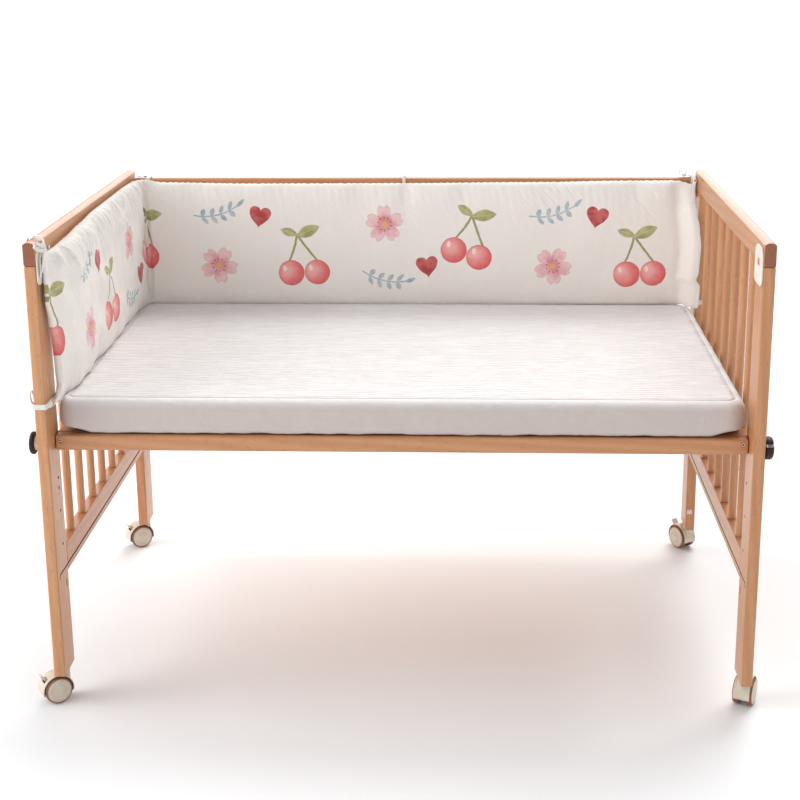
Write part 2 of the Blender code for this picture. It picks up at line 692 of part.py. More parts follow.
def tie(name, band, runs, knots, finish):
    """A tape tied round the crib, as one piece: a closed band if it has one, its runs, and the knots
    that they pass through. band and each run are (line, across, width), and a knot (middle, size)."""
    parts = []
    for i, (middle, size) in enumerate(knots):
        low = [c - s / 2 for c, s in zip(middle, size)]
        high = [c + s / 2 for c, s in zip(middle, size)]
        part_name = f"{name}_knot_form_{i}" if i else name
        parts.append(round_edges(board(part_name, low, high, finish), min(size) * 0.3))
    if band:
        line, across, wide = band
        parts.append(ribbon(f"{name}_band_form", line, across, finish, wide, True))
    for i, (line, across, wide) in enumerate(runs):
        parts.append(ribbon(f"{name}_run_form_{i}", line, across, finish, wide))
    for other in parts[1:]:
        boolean(parts[0], other, "UNION")
    return parts[0]


def front_top_tie(finish):
    """From its knot at the pad's upper front corner over the left top rail, down its outer side, under
    it behind the post, and up behind the pad. A small loop and two tails come out of the knot."""
    knot = (-590.0, 27.0, 835.5)
    over = [knot, (-591.5, 30.0, 843.0), (-593.6, 32.5, 850.5), (-598.5, 34.5, 855.6)]
    over += [(-605.0, 36.0, 856.6), (-612.5, 37.0, 855.8), (-619.5, 38.5, 852.5)]
    over += [(-623.0, 42.0, 844.0), (-623.2, 52.0, 828.0), (-623.0, 66.0, 813.0)]
    over += [(-620.5, 79.0, 805.5), (-613.0, 85.0, 807.0), (-603.0, 86.0, 807.5)]
    over += [(-598.4, 84.0, 813.5), (-598.0, 80.0, 830.0)]
    loop = [(-591.5, 25.0, 838.0), (-591.8, 12.0, 844.5), (-593.8, 1.0, 850.0), (-598.0, -5.5, 850.5)]
    loop += [(-596.0, -8.0, 845.5), (-590.8, 3.0, 838.0), (-588.6, 24.5, 833.5)]
    first = [(-591.5, 24.0, 837.0), (-592.8, 18.5, 832.0), (-594.2, 13.0, 823.0)]
    first += [(-594.6, 11.0, 806.0), (-594.2, 10.0, 790.0)]
    second = [(-588.5, 24.0, 836.0), (-588.0, 17.5, 831.5), (-588.0, 10.5, 823.5)]
    second += [(-588.6, 6.5, 813.0), (-589.6, 5.0, 800.0)]
    runs = [
        (through(over, 3), ALONG_Y, TAPE),
        (through(loop), ALONG_Z, 6.0),
        (through(first, 3), ALONG_Y, 7.0),
        (through(second, 3), ALONG_Y, 7.0),
    ]
    return tie("front_top_tie", None, runs, [(knot, (10.0, 11.0, 12.0))], finish)


def front_foot_tie(finish):
    """Round the front left post from the pad's lower front corner, with a loop on its outer side."""
    z = 566.0
    low, high = (-LENGTH / 2, 0.0), (-INNER, POST_DEPTH)
    band = around(low, high, lambda x, y: (x, y, z))
    knot, outer = (-594.0, 9.0, 567.5), (-622.3, 10.5, z)
    led = [(-605.0, -1.9, z), (-600.5, -1.7, z + 0.3), (-596.8, 2.5, z + 1.0), knot]
    led.append((-591.8, 14.6, 566.5))
    loop = [(-623.2, 9.5, z + 1.0), (-626.5, 9.0, 575.0), (-627.5, 9.0, 586.0)]
    loop += [(-624.5, 9.5, 592.0), (-621.9, 10.5, 583.0), (-621.5, 11.5, z + 3.0)]
    runs = [(through(led), ALONG_Z, 9.0), (through(loop), ALONG_Y, 8.0)]
    knots = [(knot, (7.0, 8.0, 12.0)), (outer, (3.6, 11.0, 11.6))]
    return tie("front_foot_tie", (band, ALONG_Z, TAPE), runs, knots, finish)


def round_back_rail(x, slack=0.0):
    low, high = (BACK_FACE, BACK_TOP - RAIL_HEIGHT), (DEPTH, BACK_TOP + slack)
    return around(low, high, lambda y, z: (x, y, z))


def corner_tie(finish):
    """Round the back rail by the corner, knotted behind it. One end lies over the rail to the left."""
    x = -568.0
    knot = (x, 774.4, 820.0)
    over = [knot, (x - 5.0, 774.6, 829.0), (x - 10.0, 772.6, 837.5), (x - 16.0, 763.0, 840.4)]
    over.append((x - 23.0, 755.5, 839.6))
    fall = [knot, (x + 6.0, 777.0, 810.0), (x + 9.0, 775.0, 796.0), (x + 10.0, 774.5, 778.0)]
    runs = [(through(over), ALONG_X, 7.0), (through(fall), ALONG_X, 8.0)]
    band = (round_back_rail(x), ALONG_X, TAPE)
    return tie("corner_tie", band, runs, [(knot, (9.0, 6.6, 9.0))], finish)


def middle_tie(finish):
    """Round the back rail, knotted behind it with two tails."""
    x = -18.0
    knot = (x, 774.4, 824.0)
    runs = []
    for side, z in ((-1, 776.0), (1, 770.0)):
        tail = [knot, (x + side * 6.0, 777.5, 813.0), (x + side * 9.0, 775.4, 798.0)]
        tail.append((x + side * 11.0, 774.8, z))
        runs.append((through(tail), ALONG_X, 7.0))
    band = (round_back_rail(x, 3.0), ALONG_X, 6.5)
    return tie("middle_tie", band, runs, [(knot, (9.0, 6.6, 9.0))], finish)


def right_top_tie(finish):
    """From a ring at the pad's upper right corner over the back rail, along its top to a knot with a
    standing loop. One end falls in front of the pad."""
    x = 592.5
    ring = [Vector((x + 2.0 + a, 737.0, 832.4 + b)) for a, b in turned(circle(3.2, 10))]
    knot, turn = (574.5, 760.0, 840.9), (x, 747.6, 836.5)
    rise = [(594.5, 738.0, 834.5), (593.5, 745.0, 838.4), (591.5, 752.0, 840.6), (585.0, 758.5, 841.0)]
    rise.append(knot)
    loop = [(572.6, 760.0, 841.6), (564.6, 759.5, 845.5), (564.5, 759.0, 852.5)]
    loop += [(571.5, 759.0, 856.2), (579.0, 759.5, 850.5), (577.0, 760.0, 842.0)]
    fall = [(594.3, 735.0, 829.8), (592.0, 724.0, 832.0), (589.5, 713.0, 824.0)]
    fall += [(588.5, 708.0, 809.0), (588.5, 706.5, 796.0)]
    runs = [
        (through(rise), ALONG_X, 8.0),
        (through(loop), ALONG_Y, 8.0),
        (through(fall), ALONG_X, 7.0),
        ([*ring, ring[0] + Vector((0.0, 0.0, 0.05))][:-1], ALONG_Y, 9.0),
    ]
    knots = [(knot, (9.0, 9.0, 6.4)), (turn, (7.0, 4.2, 7.0))]
    return tie("right_top_tie", (round_back_rail(x), ALONG_X, 9.0), runs, knots, finish)


def right_foot_tie(finish):
    """Round the back right post, knotted on its outer side."""
    z = 578.0
    low, high = (INNER, DEPTH - POST_DEPTH), (LENGTH / 2, DEPTH)
    band = around(low, high, lambda x, y: (x, y, z))
    knot = (LENGTH / 2 + 3.9, 730.0, z)
    runs = []
    for side, low_z in ((-1, 540.0), (1, 534.0)):
        tail = [knot, (627.5, 730.0 + side * 6.0, z - 11.0), (625.5, 730.0 + side * 9.0, z - 25.0)]
        tail.append((624.5, 730.0 + side * 11.0, low_z))
        runs.append((through(tail), ALONG_Y, 7.0))
    return tie("right_foot_tie", (band, ALONG_Z, TAPE), runs, [(knot, (6.6, 9.0, 9.0))], finish)


# Casters


def on_caster(x, y, z):
    """A spot in a caster's own frame, in metres."""
    return Vector((x, y, z)) * MM


def across_caster(name, outline, half, finish, inner=None, smooth=False):
    """An outline in the caster's X and Z, extruded across it: to both sides, or from inner outwards."""
    start, end = (-half, half) if inner is None else sorted((inner, half))
    return prism(name, turned(outline), start, end, "Y", finish, smooth, on_caster)


def from_axle(reach, degrees, aside=0.0):
    """A spot in the caster's X and Z, that far from the axle at that angle, and that much beside."""
    a = math.radians(degrees)
    x = TRAIL + reach * math.cos(a) - aside * math.sin(a)
    return (x, WHEEL_RADIUS + reach * math.sin(a) + aside * math.cos(a))


def hood_mesh(finish):
    """The hood over both wheels, with its web, swivel collar, axle bore and pedal slot."""
    axle = (TRAIL, WHEEL_RADIUS)
    outline = arc(HOOD_RADIUS, 30, axle, *HOOD_ARC)
    made = across_caster("hood_form", outline, HOOD_HALF, finish, smooth=True)
    radius, low = COLLAR
    ends = (low, POST_FOOT - GAP)
    collar = prism("collar_form", circle(radius, 20), *ends, "Z", finish, True, on_caster)
    boolean(made, collar, "UNION")
    for side_name, side in SIDES:
        room = circle(HOOD_INNER, 40, axle)
        ends = (side * 2 * HOOD_HALF, finish, side * WEB_HALF)
        boolean(made, across_caster(f"{side_name}_wheel_room", room, *ends))
    boolean(made, across_caster("axle_bore", circle(BORE_RADIUS, 14, axle), HOOD_HALF, finish))
    half, below, above = PEDAL_SLOT
    reach, angle = PIVOT
    bore = circle(PIVOT_BORE, 14, from_axle(reach, angle))
    boolean(made, across_caster("pivot_bore", bore, half, finish))
    far, thick = HOOD_RADIUS + 4.0, PEDAL_ARM[1]
    slot = [from_axle(reach, angle, -thick - 1.2), from_axle(far, angle, -below)]
    slot += [from_axle(far, angle, above), from_axle(reach, angle, thick + 0.9)]
    boolean(made, across_caster("pedal_slot", slot, half, finish))
    return made_whole(made)


def pedal_mesh(finish):
    """The brake pedal about its pivot: a hub, an arm and the tab that a foot presses."""
    reach, angle = PIVOT
    half, thick = PEDAL_ARM
    half_tab, start, end, tab_thick = PEDAL_TAB
    arm = [from_axle(reach, angle, -thick), from_axle(start + 1.0, angle, -thick)]
    arm += [from_axle(start + 1.0, angle, thick), from_axle(reach, angle, thick)]
    made = across_caster("pedal_form", arm, half, finish)
    pivot = from_axle(reach, angle)
    hub = across_caster("hub_form", circle(PIVOT_RADIUS, 14, pivot), half + 0.2, finish)
    boolean(made, hub, "UNION")
    tab = [from_axle(start, angle, -tab_thick / 2), from_axle(end, angle, -tab_thick / 2)]
    tab += [from_axle(end + 0.8, angle, tab_thick / 2), from_axle(start, angle, tab_thick / 2)]
    boolean(made, across_caster("tab_form", tab, half_tab, finish), "UNION")
    mesh = made_whole(made)
    for vertex in mesh.vertices:
        vertex.co -= on_caster(pivot[0], 0.0, pivot[1])
    return mesh


def wheels_mesh(finish):
    """Two wheels on their axle, turned about it, with flat facets that meet the floor."""
    half = [(row["across"], row["radius"]) for row in WHEEL_PROFILE]
    inner = half[0][0]
    outline = [(-a, r) for a, r in reversed(half)]
    outline += [(-inner, AXLE_RADIUS), (inner, AXLE_RADIUS), *half]
    out = 1 / math.cos(math.pi / WHEEL_SIDES)
    rings = [[(x, a, z) for z, x in turned(circle(r * out, WHEEL_SIDES))] for a, r in outline]
    return made_whole(add("wheels_form", *shell(rings, on_caster), finish, True))


def casters(plastic, tread):
    pivot = from_axle(*PIVOT)
    parts = {
        "hood": (hood_mesh(plastic), (0.0, 0.0, 0.0)),
        "wheels": (wheels_mesh(tread), on_caster(TRAIL, 0.0, WHEEL_RADIUS)),
        "pedal": (pedal_mesh(plastic), on_caster(pivot[0], 0.0, pivot[1])),
    }
    for row in CASTERS:
        y = DEPTH - SWIVEL_Y if row["back"] else SWIVEL_Y
        swivel = bpy.data.objects.new(f"{row['name']}_swivel", None)
        swivel.location = point(row["side"] * MIDDLE_X, y, 0.0)
        swivel.rotation_euler.z = math.radians(row["trails"])
        bpy.context.scene.collection.objects.link(swivel)
        for part_name, (mesh, spot) in parts.items():
            made = bpy.data.objects.new(f"{row['name']}_{part_name}", mesh)
            made.parent = swivel
            made.location = spot
            bpy.context.scene.collection.objects.link(made)


def main():
    clear_scene()
    wood = material("beech", (0.66, 0.40, 0.22), 0.45)
    plastic = material("cream_plastic", (0.74, 0.66, 0.55), 0.40)
    black = material("black_plastic", (0.03, 0.025, 0.025), 0.45)
    metal = material("screw_steel", (0.45, 0.34, 0.22), 0.35)
    tread = material("brown_tread", (0.30, 0.14, 0.10), 0.55)
    sheet = material("sheet_cotton", (0.86, 0.84, 0.83), 0.85)
    cotton = material("bumper_cotton", (0.85, 0.80, 0.78), 0.85)
    tape = material("tie_cotton", (0.90, 0.88, 0.86), 0.85)
    crib(wood, plastic, black, metal)
    mattress(sheet)
    bumper(cotton)
    front_top_tie(tape)
    front_foot_tie(tape)
    corner_tie(tape)
    middle_tie(tape)
    right_top_tie(tape)
    right_foot_tie(tape)
    casters(plastic, tread)


main()
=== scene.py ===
"""Looks of the crib with its padded bumper: materials, cloth shapes, a studio and a camera.

The CAD model gives the rigid shapes, apart from the wheels. The bumper, the mattress, the tapes and
the wheels are made again here in finer detail. X runs along the crib, Y from its open front to its
back and Z up. Shapes are worked out in millimetres, with Y measured from the front, and point() turns
them into metres.
"""

import math

import bmesh
import bpy
from mathutils import Matrix, Vector, noise

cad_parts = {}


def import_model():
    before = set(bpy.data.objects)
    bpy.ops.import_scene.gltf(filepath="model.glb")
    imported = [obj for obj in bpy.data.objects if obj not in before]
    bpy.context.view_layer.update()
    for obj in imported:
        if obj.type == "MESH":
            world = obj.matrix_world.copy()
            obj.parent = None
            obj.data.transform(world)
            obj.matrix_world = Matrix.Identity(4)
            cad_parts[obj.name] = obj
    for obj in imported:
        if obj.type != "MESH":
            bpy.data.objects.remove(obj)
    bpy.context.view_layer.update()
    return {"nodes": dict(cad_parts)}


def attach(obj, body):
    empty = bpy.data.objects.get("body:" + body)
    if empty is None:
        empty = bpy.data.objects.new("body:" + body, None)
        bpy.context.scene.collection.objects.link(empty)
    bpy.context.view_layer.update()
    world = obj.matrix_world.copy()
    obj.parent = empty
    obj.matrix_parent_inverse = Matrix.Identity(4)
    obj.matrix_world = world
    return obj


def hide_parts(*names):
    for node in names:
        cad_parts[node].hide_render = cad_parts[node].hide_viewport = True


MM = 0.001
DEPTH = 770
INNER = 600  # from the middle to the inner faces of the end frames
OUTER = 620
BACK_FACE = 750
BACK_RAIL = (797, 837)
POST_DEPTH = 67

# Mattress in its fitted sheet
MATTRESS_LOW = (-597, 42, 502.3)
MATTRESS_HIGH = (597, 746, 566)
MATTRESS_CORNER = 34
MATTRESS_SHOULDER = 20
MATTRESS_UNDER = 10
MATTRESS_STEP = 9
MATTRESS_CROWN = 2.2
MATTRESS_WAVE = 1.1
MATTRESS_SLACK = (1.2, 1.6)  # how far the sheet's sides sink, and how much that varies
MATTRESS_HEM = 40  # how far up the sheet's gathered hem reaches
MATTRESS_EDGE = 40  # how far round a corner the sides' slack is turned
MATTRESS_GATHER = 60  # how far from a corner the hem is lifted
HEM_LIFT = (9, 1.5, 1.6)  # at a corner, elsewhere, and its ripples

# Bumper: along is measured on the frame from the pad's front end, and away from the frame inwards
PAD_START = 17
PAD_BEND = 44
PAD_BACK = 4.2
PAD_SEAM = (9, 8)
PAD_FOOT = 561.8
PAD_LEFT = BACK_FACE - PAD_BEND
PAD_ARC = PAD_BEND * math.pi / 2
PAD_X = PAD_LEFT + PAD_ARC - PAD_START + INNER - PAD_BEND
PAD_CORNER = PAD_LEFT + PAD_ARC / 2 - PAD_START
CREASE = (0.80, 0.42)
CREASE_WIDTH = 24
CORNER_RIDGE = (6, 5)  # height, half width
CORNER_TROUGH = (6.5, 5.5, 12)  # depth, half width, distance from the ridge
PAD_STEP = 4.2
PAD_ROWS = 50
PAD_RUN = (
    (0, 829, 19),
    (58, 827, 28),
    (138, 829, 36),
    (240, 834, 33),
    (350, 839, 30),
    (600, 840, 28),
    (PAD_CORNER, 837, 30),
    (PAD_X - 529, 829.5, 24),
    (PAD_X - 346, 827, 26),
    (PAD_X - 17, 827.5, 27),
    (PAD_X + 291, 829.5, 31),
    (PAD_X + 438, 832, 34),
    (PAD_X + 563, 832.5, 34),
    (PAD_X + 596, 826, 32),
)  # along, height of the upper seam, how far away the crown is
PAD_FRONT_END = (
    (561, 17),
    (576, 42),
    (594, 54),
    (617, 49),
    (673, 44),
    (711, 32),
    (749, 20),
    (829, 22),
)  # up, Y of the edge
PAD_RIGHT_END = (
    (561, 605, 48),
    (616, 607, 48),
    (629, 598.5, 48),
    (645, 603.5, 48),
    (700, 606, 48),
    (740, 602, 48),
    (768, 597, 40),
    (796, 596, 24),
    (832, 592, 0),
)  # up, X of the edge, how far it curls forward
PAD_CURL_RUN = 44
PAD_THIN = ((70, 0.55), (58, 0.22))  # at each end, over what length and down to what share
PAD_RUMPLE = 4.2
PAD_PULL = 1.3  # depth of the ends' fine creases
PAD_PUCKER = 0.8
PAD_FOLDS_TOP = (
    (20, 4, 13, 0.55),
    (84, 4.5, 15, 0.40),
    (196, 4, 20, 0.30),
    (318, 5, 22, 0.34),
    (436, 4.5, 20, 0.28),
    (560, 5.5, 22, 0.40),
    (650, 5, 18, 0.30),
    (756, 6, 16, 0.50),
    (850, 4, 24, 0.30),
    (1036, 3.5, 26, 0.24),
    (1200, 4, 22, 0.30),
    (1302, 6.5, 16, 0.44),
    (1422, 4, 24, 0.30),
    (1604, 3.5, 28, 0.24),
    (1788, 4.5, 20, 0.32),
    (1872, 6, 15, 0.50),
)  # along, depth, half width at the seam, how far it runs as a share of the height
PAD_FOLDS_FOOT = (
    (60, 5, 18, 0.30),
    (268, 4, 30, 0.26),
    (520, 4, 34, 0.24),
    (900, 3.5, 40, 0.22),
    (1450, 3.5, 44, 0.22),
    (1856, 5, 20, 0.34),
)

# Tapes
TAPE_THICK = 1.3
TAPE_CLEAR = 0.6

# Casters
SWIVEL_X = 610
SWIVEL_Y = 33.6
TRAIL = 17.5
WHEEL_RADIUS = 25
HOOD_SHADE_REACH = (28, 26.8)  # how far from the axle the painted shade inside a hood starts, and where it is full
HOOD_FOOT = 15.5  # the height of its lower edge, which is lifted at the front
HOOD_LIFT = 3.5
HOOD_LIFT_RUN = 8
CASTER_CREAM = ((212, 198, 180), (222, 209, 192))
CASTERS = (
    ("front_left", -1, False, 214),
    ("front_right", 1, False, 66),
    ("back_left", -1, True, 214),
    ("back_right", 1, True, 122),
)  # name, side, whether it is at the back, and which way its wheels trail

# Places that a material marks
BACK_BARS = (288, BACK_RAIL[0] - 1)  # the foot and the top of the back's bars
POST_HOLLOW = (POST_DEPTH / 2, 30)  # Y of its middle, and half its width
RAIL_GROOVE = (248.4, 1.7)  # its height, and half its width
HOLLOW_START = 0.4  # how far in from a frame's inner face the painted shade starts
CATCH_TAB = (0, 29, 815.5)  # the tab's middle
CATCH_TAB_HALF = ((9.2, 8.2), (6.8, 5.8))  # across and up, each with a soft edge
KNOB_LINE = 503.2  # the white line's height
SCREW = (590, 492.5)  # X from the middle, and height

WHITE = (1, 1, 1, 1)


def point(x, y, z):
    return Vector((x, y - DEPTH / 2, z)) * MM


def srgb(red, green, blue):
    """A linear colour from its 0 to 255 values."""
    values = [c / 255 for c in (red, green, blue)]
    return (*[c / 12.92 if c <= 0.04045 else ((c + 0.055) / 1.055) ** 2.4 for c in values], 1)


# Shader nodes


class Value:
    """What a node gives. Arithmetic with it adds nodes to the same tree."""

    def __init__(self, socket):
        self.socket = socket

    def __add__(self, other):
        return calc("ADD", self, other)

    def __sub__(self, other):
        return calc("SUBTRACT", self, other)

    def __rsub__(self, other):
        return calc("SUBTRACT", other, self)

    def __mul__(self, other):
        return calc("MULTIPLY", self, other)

    def __truediv__(self, other):
        return calc("DIVIDE", self, other)

    def __rtruediv__(self, other):
        return calc("DIVIDE", other, self)

    def __mod__(self, other):
        return calc("FLOORED_MODULO", self, other)

    def __gt__(self, other):
        return calc("GREATER_THAN", self, other)

    def __lt__(self, other):
        return calc("LESS_THAN", self, other)

    def __abs__(self):
        return calc("ABSOLUTE", self)


def fill(inputs, values):
    """Sets or links inputs. A key is a place, or a label with _ for each space."""
    for key, value in values.items():
        socket = inputs[key.replace("_", " ") if isinstance(key, str) else key]
        if isinstance(value, Value):
            socket.id_data.links.new(value.socket, socket)
        else:
            socket.default_value = value


def add(kind, values=(), out=0, tree=None, **settings):
    """A node with its settings and inputs, in that tree or in its inputs' tree. Returns one output."""
    values = values if isinstance(values, dict) else dict(enumerate(values))
    tree = tree or next(v.socket.id_data for v in values.values() if isinstance(v, Value))
    node = tree.nodes.new("ShaderNode" + kind)
    for key, value in settings.items():
        setattr(node, key, value)
    fill(node.inputs, values)
    return Value(node.outputs[out])


def is_vector(value):
    return isinstance(value, tuple) or (isinstance(value, Value) and value.socket.type != "VALUE")


def calc(operation, *values, clamp=False):
    """One step of arithmetic, on vectors if a value is one."""
    if any(is_vector(value) for value in values):
        return add("VectorMath", values, operation=operation)
    return add("Math", values, operation=operation, use_clamp=clamp)


def length(vector):
    return add("VectorMath", [vector], "Value", operation="LENGTH")


def mixed(share, first, second):
    return add("Mix", {0: share, 6: first, 7: second}, 2, data_type="RGBA")


def step(value, start, end, low=0, high=1):
    """The value moved smoothly from one range to another, and held at its ends."""
    values = {"Value": value, "From Min": start, "From Max": end, "To Min": low, "To Max": high}
    return add("MapRange", values, interpolation_type="SMOOTHSTEP")


def apart(vector):
    """X, Y and Z of a vector."""
    node = add("SeparateXYZ", [vector]).socket.node
    return [Value(socket) for socket in node.outputs]


def joined(x, y, z=0):
    return add("CombineXYZ", [x, y, z])


def cloudy(vector, scale, detail=2, rough=0.5, out="Fac"):
    values = {"Vector": vector, "Scale": scale, "Detail": detail, "Roughness": rough}
    return add("TexNoise", values, out)


def group(name, takes, gives):
    """A new node group. Returns it, the values that it takes and the inputs of its output node."""
    tree = bpy.data.node_groups.new(name, "ShaderNodeTree")
    for side, sockets in (("INPUT", takes), ("OUTPUT", gives)):
        for label, default in sockets.items():
            kind = "NodeSocketFloat"
            if isinstance(default, tuple):
                kind = "NodeSocketColor" if len(default) == 4 else "NodeSocketVector"
            tree.interface.new_socket(label, in_out=side, socket_type=kind).default_value = default
    taken = {socket.name: Value(socket) for socket in tree.nodes.new("NodeGroupInput").outputs}
    return tree, taken, tree.nodes.new("NodeGroupOutput").inputs


def use(made, grouped, **values):
    """A group in a material. Returns its values by their labels."""
    node = made.node_tree.nodes.new("ShaderNodeGroup")
    node.node_tree = grouped
    fill(node.inputs, values)
    return {socket.name: Value(socket) for socket in node.outputs}


def finish(name, **settings):
    """A material. Returns it and its main shader's inputs."""
    made = bpy.data.materials.new(name)
    made.use_nodes = True
    shader = made.node_tree.nodes["Principled BSDF"].inputs
    fill(shader, settings)
    return made, shader


def dress(shader, colour, rough, height, strength, distance):
    """Gives a material its colour, its roughness and its relief."""
    bump = add("Bump", {"Height": height, "Strength": strength, "Distance": distance})
    fill(shader, {"Base_Color": colour, "Roughness": rough, "Normal": bump})


def from_mesh(made, out, kind="TexCoord", **settings):
    """A value that the mesh gives at each point."""
    return add(kind, (), out, made.node_tree, **settings)


def painted(made, shader, mask, colour):
    """Lays a colour over a material's own."""
    below = Value(shader["Base Color"].links[0].from_socket)
    fill(shader, {"Base_Color": mixed(mask, below, colour)})
    return made


# Wood


def grain_group():
    """Beech, with its grain along Z: growth bands, fine pores, short flecks, darker end grain, and painted
    shade where it is hollow.
    """
    takes = {
        "Vector": (0, 0, 0),
        "Normal": (0, 0, 1),
        "Hollow": 0,
        "Pale": srgb(206, 150, 104),
        "Deep": srgb(184, 122, 78),
        "End": srgb(132, 76, 50),
    }
    gives = {"Colour": WHITE, "Roughness": 0.4, "Height": 0}
    tree, taken, given = group("beech_grain", takes, gives)
    place, pale, deep, end = [taken[label] for label in ("Vector", "Pale", "Deep", "End")]
    stretched = place * (1, 1, 0.07)
    bent = cloudy(stretched, 9, 3, 0.5, "Color") * (0.035, 0.035, 0) + stretched
    values = {"Vector": bent, "Scale": 34, "Distortion": 2.2, "Detail": 3, "Detail Scale": 1.6}
    bands = add("TexWave", values, "Fac", bands_direction="DIAGONAL")
    pores = cloudy(place * (1, 1, 0.035), 900, 2, 0.6)
    flecks = step(cloudy(place * (1, 1, 0.16), 420, 1), 0.63, 0.74)
    broad = cloudy(stretched, 5, 2)
    colour = mixed(step(bands * 0.16 + broad * 0.74, 0.2, 0.78), pale, deep)
    colour = mixed(step(pores, 0.45, 0.75) * 0.3, colour, mixed(0.35, deep, end))
    colour = mixed(flecks * 0.30, colour, end)
    at_end = step(abs(apart(taken["Normal"])[2]), 0.75, 0.93)
    rings = cloudy(place * (1, 0.35, 1), 260, 3)
    colour = mixed(at_end, colour, mixed(rings * 0.3, end, deep))
    # Painted shade: near-black brown where the mask says a hollow or groove lies.
    colour = mixed(taken["Hollow"], colour, srgb(66, 32, 20))
    rough = pores * 0.18 + at_end * 0.14
    fill(given, {"Colour": colour, "Roughness": rough, "Height": bands * 0.3 - pores * 0.6})
    return tree


def wood(name, grain, axis):
    """Beech whose grain runs along X, Y or Z, or along Z between the back rails and along X on them.
    Inside the hollow of a front post and the groove of a low rail it is painted dark, as painted shade."""
    made, shader = finish(name, Coat_Weight=0.45, Coat_Roughness=0.26, Specular_IOR_Level=0.40)
    x, y, z = apart(from_mesh(made, "Object"))
    vectors = []
    for out in ("Object", "Normal"):
        vector = from_mesh(made, out)
        a, b, c = apart(vector)
        if axis == "X":
            vector = joined(c, b, a)
        elif axis == "Y":
            vector = joined(a, c, b)
        elif axis == "frame":
            on_bars = (z > BACK_BARS[0] * MM) * (z < BACK_BARS[1] * MM)
            values = {0: on_bars, 4: joined(c, b, a), 5: vector}
            vector = add("Mix", values, 1, data_type="VECTOR")
        vectors.append(vector)
    # sunk marks where shade is painted: inside a front post's hollow and a low rail's groove.
    sunk = 0
    behind_face = abs(x) > (INNER + HOLLOW_START) * MM
    if axis == "Z":
        off = abs(y - point(0, POST_HOLLOW[0], 0).y)
        sunk = behind_face * (off < POST_HOLLOW[1] * MM) * (abs(x) < (OUTER - 1) * MM)
    elif axis == "Y":
        sunk = behind_face * (abs(z - RAIL_GROOVE[0] * MM) < RAIL_GROOVE[1] * MM)
    outs = use(made, grain, Vector=vectors[0], Normal=vectors[1], Hollow=sunk)
    dress(shader, outs["Colour"], outs["Roughness"] + 0.34, outs["Height"], 0.25, 0.0004)
    return made


# Fittings


def plastic(name, low, high, roughness, grain=900, relief=0.00012, shine=0.45):
    """Moulded plastic: a faint mottle and a fine, even texture. Returns its shader's inputs too."""
    made, shader = finish(name, Specular_IOR_Level=shine)
    place = from_mesh(made, "Object")
    colour = mixed(step(cloudy(place, 60, 3), 0.3, 0.7), srgb(*low), srgb(*high))
    fine = cloudy(place, grain, 2)
    rough = step(fine, 0.3, 0.7, roughness - 0.05, roughness + 0.07)
    dress(shader, colour, rough, fine, 0.3, relief)
    return made, shader


def hood_plastic():
    """The caster's plastic, painted near-black inside the hood as painted shade. The mesh says how far
    each point is from the axle."""
    made, shader = plastic("hood_plastic", *CASTER_CREAM, 0.36)
    reach = from_mesh(made, "Fac", "Attribute", attribute_name="from_axle")
    inside = step(reach, HOOD_SHADE_REACH[0] * MM, HOOD_SHADE_REACH[1] * MM)
    # Painted shade: near-black inside the hood, round the wheels.
    return painted(made, shader, inside, srgb(34, 28, 28))


def knob_plastic():
    """Brown-black plastic, with a white line painted along the right knob's slot."""
    colours = ((38, 20, 18), (56, 34, 29))
    made, shader = plastic("knob_plastic", *colours, 0.42, 700, 0.0002, 0.25)
    x, z = apart(from_mesh(made, "Object"))[::2]
    line = step(abs(z - KNOB_LINE * MM), 0.0022, 0.0018) * (x > 0)
    return painted(made, shader, line, srgb(240, 236, 234))


def catch_plate():
    """Pale plastic, with one orange tab set in each plate's inner face."""
    made, shader = plastic("catch_plate_plastic", (226, 216, 204), (238, 230, 220), 0.38)
    spot = from_mesh(made, "Object") - tuple(point(*CATCH_TAB))
    tab = 1
    for off, (outer, inner) in zip(apart(spot)[1:], CATCH_TAB_HALF):
        tab = step(abs(off), outer * MM, inner * MM) * tab
    return painted(made, shader, tab, srgb(214, 122, 66))


def screw_steel():
    """Turned steel with a brass tint, its fine rings about the screw, and a hex socket."""
    made, shader = finish("screw_head_steel", Metallic=0.35, Base_Color=srgb(200, 160, 120))
    x, z = apart(from_mesh(made, "Object"))[::2]
    reach = length(joined(abs(x) - SCREW[0] * MM, z - SCREW[1] * MM))
    rings = calc("SINE", reach * 14000)
    socket = step(reach, 0.0015, 0.0021)
    # Painted shade: the hex socket is near-black. Past 3.4 mm from the middle it is painted darker brown.
    colour = mixed(socket, srgb(40, 24, 18), srgb(226, 190, 156))
    colour = mixed(step(reach, 0.0034, 0.0040), colour, srgb(78, 44, 30))
    dress(shader, colour, step(rings, -1, 1, 0.28, 0.42), socket, 0.6, 0.0005)
    return made


# Cloth


def weave_group():
    """Plain woven cotton: its threads up close, and soft slubs and crumples further off."""
    takes = {"Vector": (0, 0, 0), "Thread": 0.00042}
    tree, taken, given = group("cotton_weave", takes, {"Height": 0, "Shade": 0})
    place = taken["Vector"]
    u, v = apart(place * (math.pi / taken["Thread"]))[:2]
    over = calc("SINE", u) * calc("SINE", v)
    slubs = cloudy(place * (1, 0.22, 1), 420, 2)
    crumple = cloudy(place, 55, 4, 0.55)
    height = crumple * 0.9 + (over * 0.06 + slubs * 0.12)
    fill(given, {"Height": height, "Shade": slubs * 0.5 + crumple * 0.5})
    return tree


PRINT_REPEAT = 716
PRINT = (
    ("cherries", 20, 150, 8, 1.30),
    ("cherries", 378, 108, -10, 1.30),
    ("blossom", 199, 92, 12, 1.30),
    ("blossom", 557, 182, -20, 1.30),
    ("sprig", 199, 205, -14, 1.35),
    ("sprig", 557, 62, 12, 1.35),
    ("heart", 290, 196, 10, 1.45),
    ("heart", 648, 88, -8, 1.45),
)  # motif, right, up, turn in degrees, size


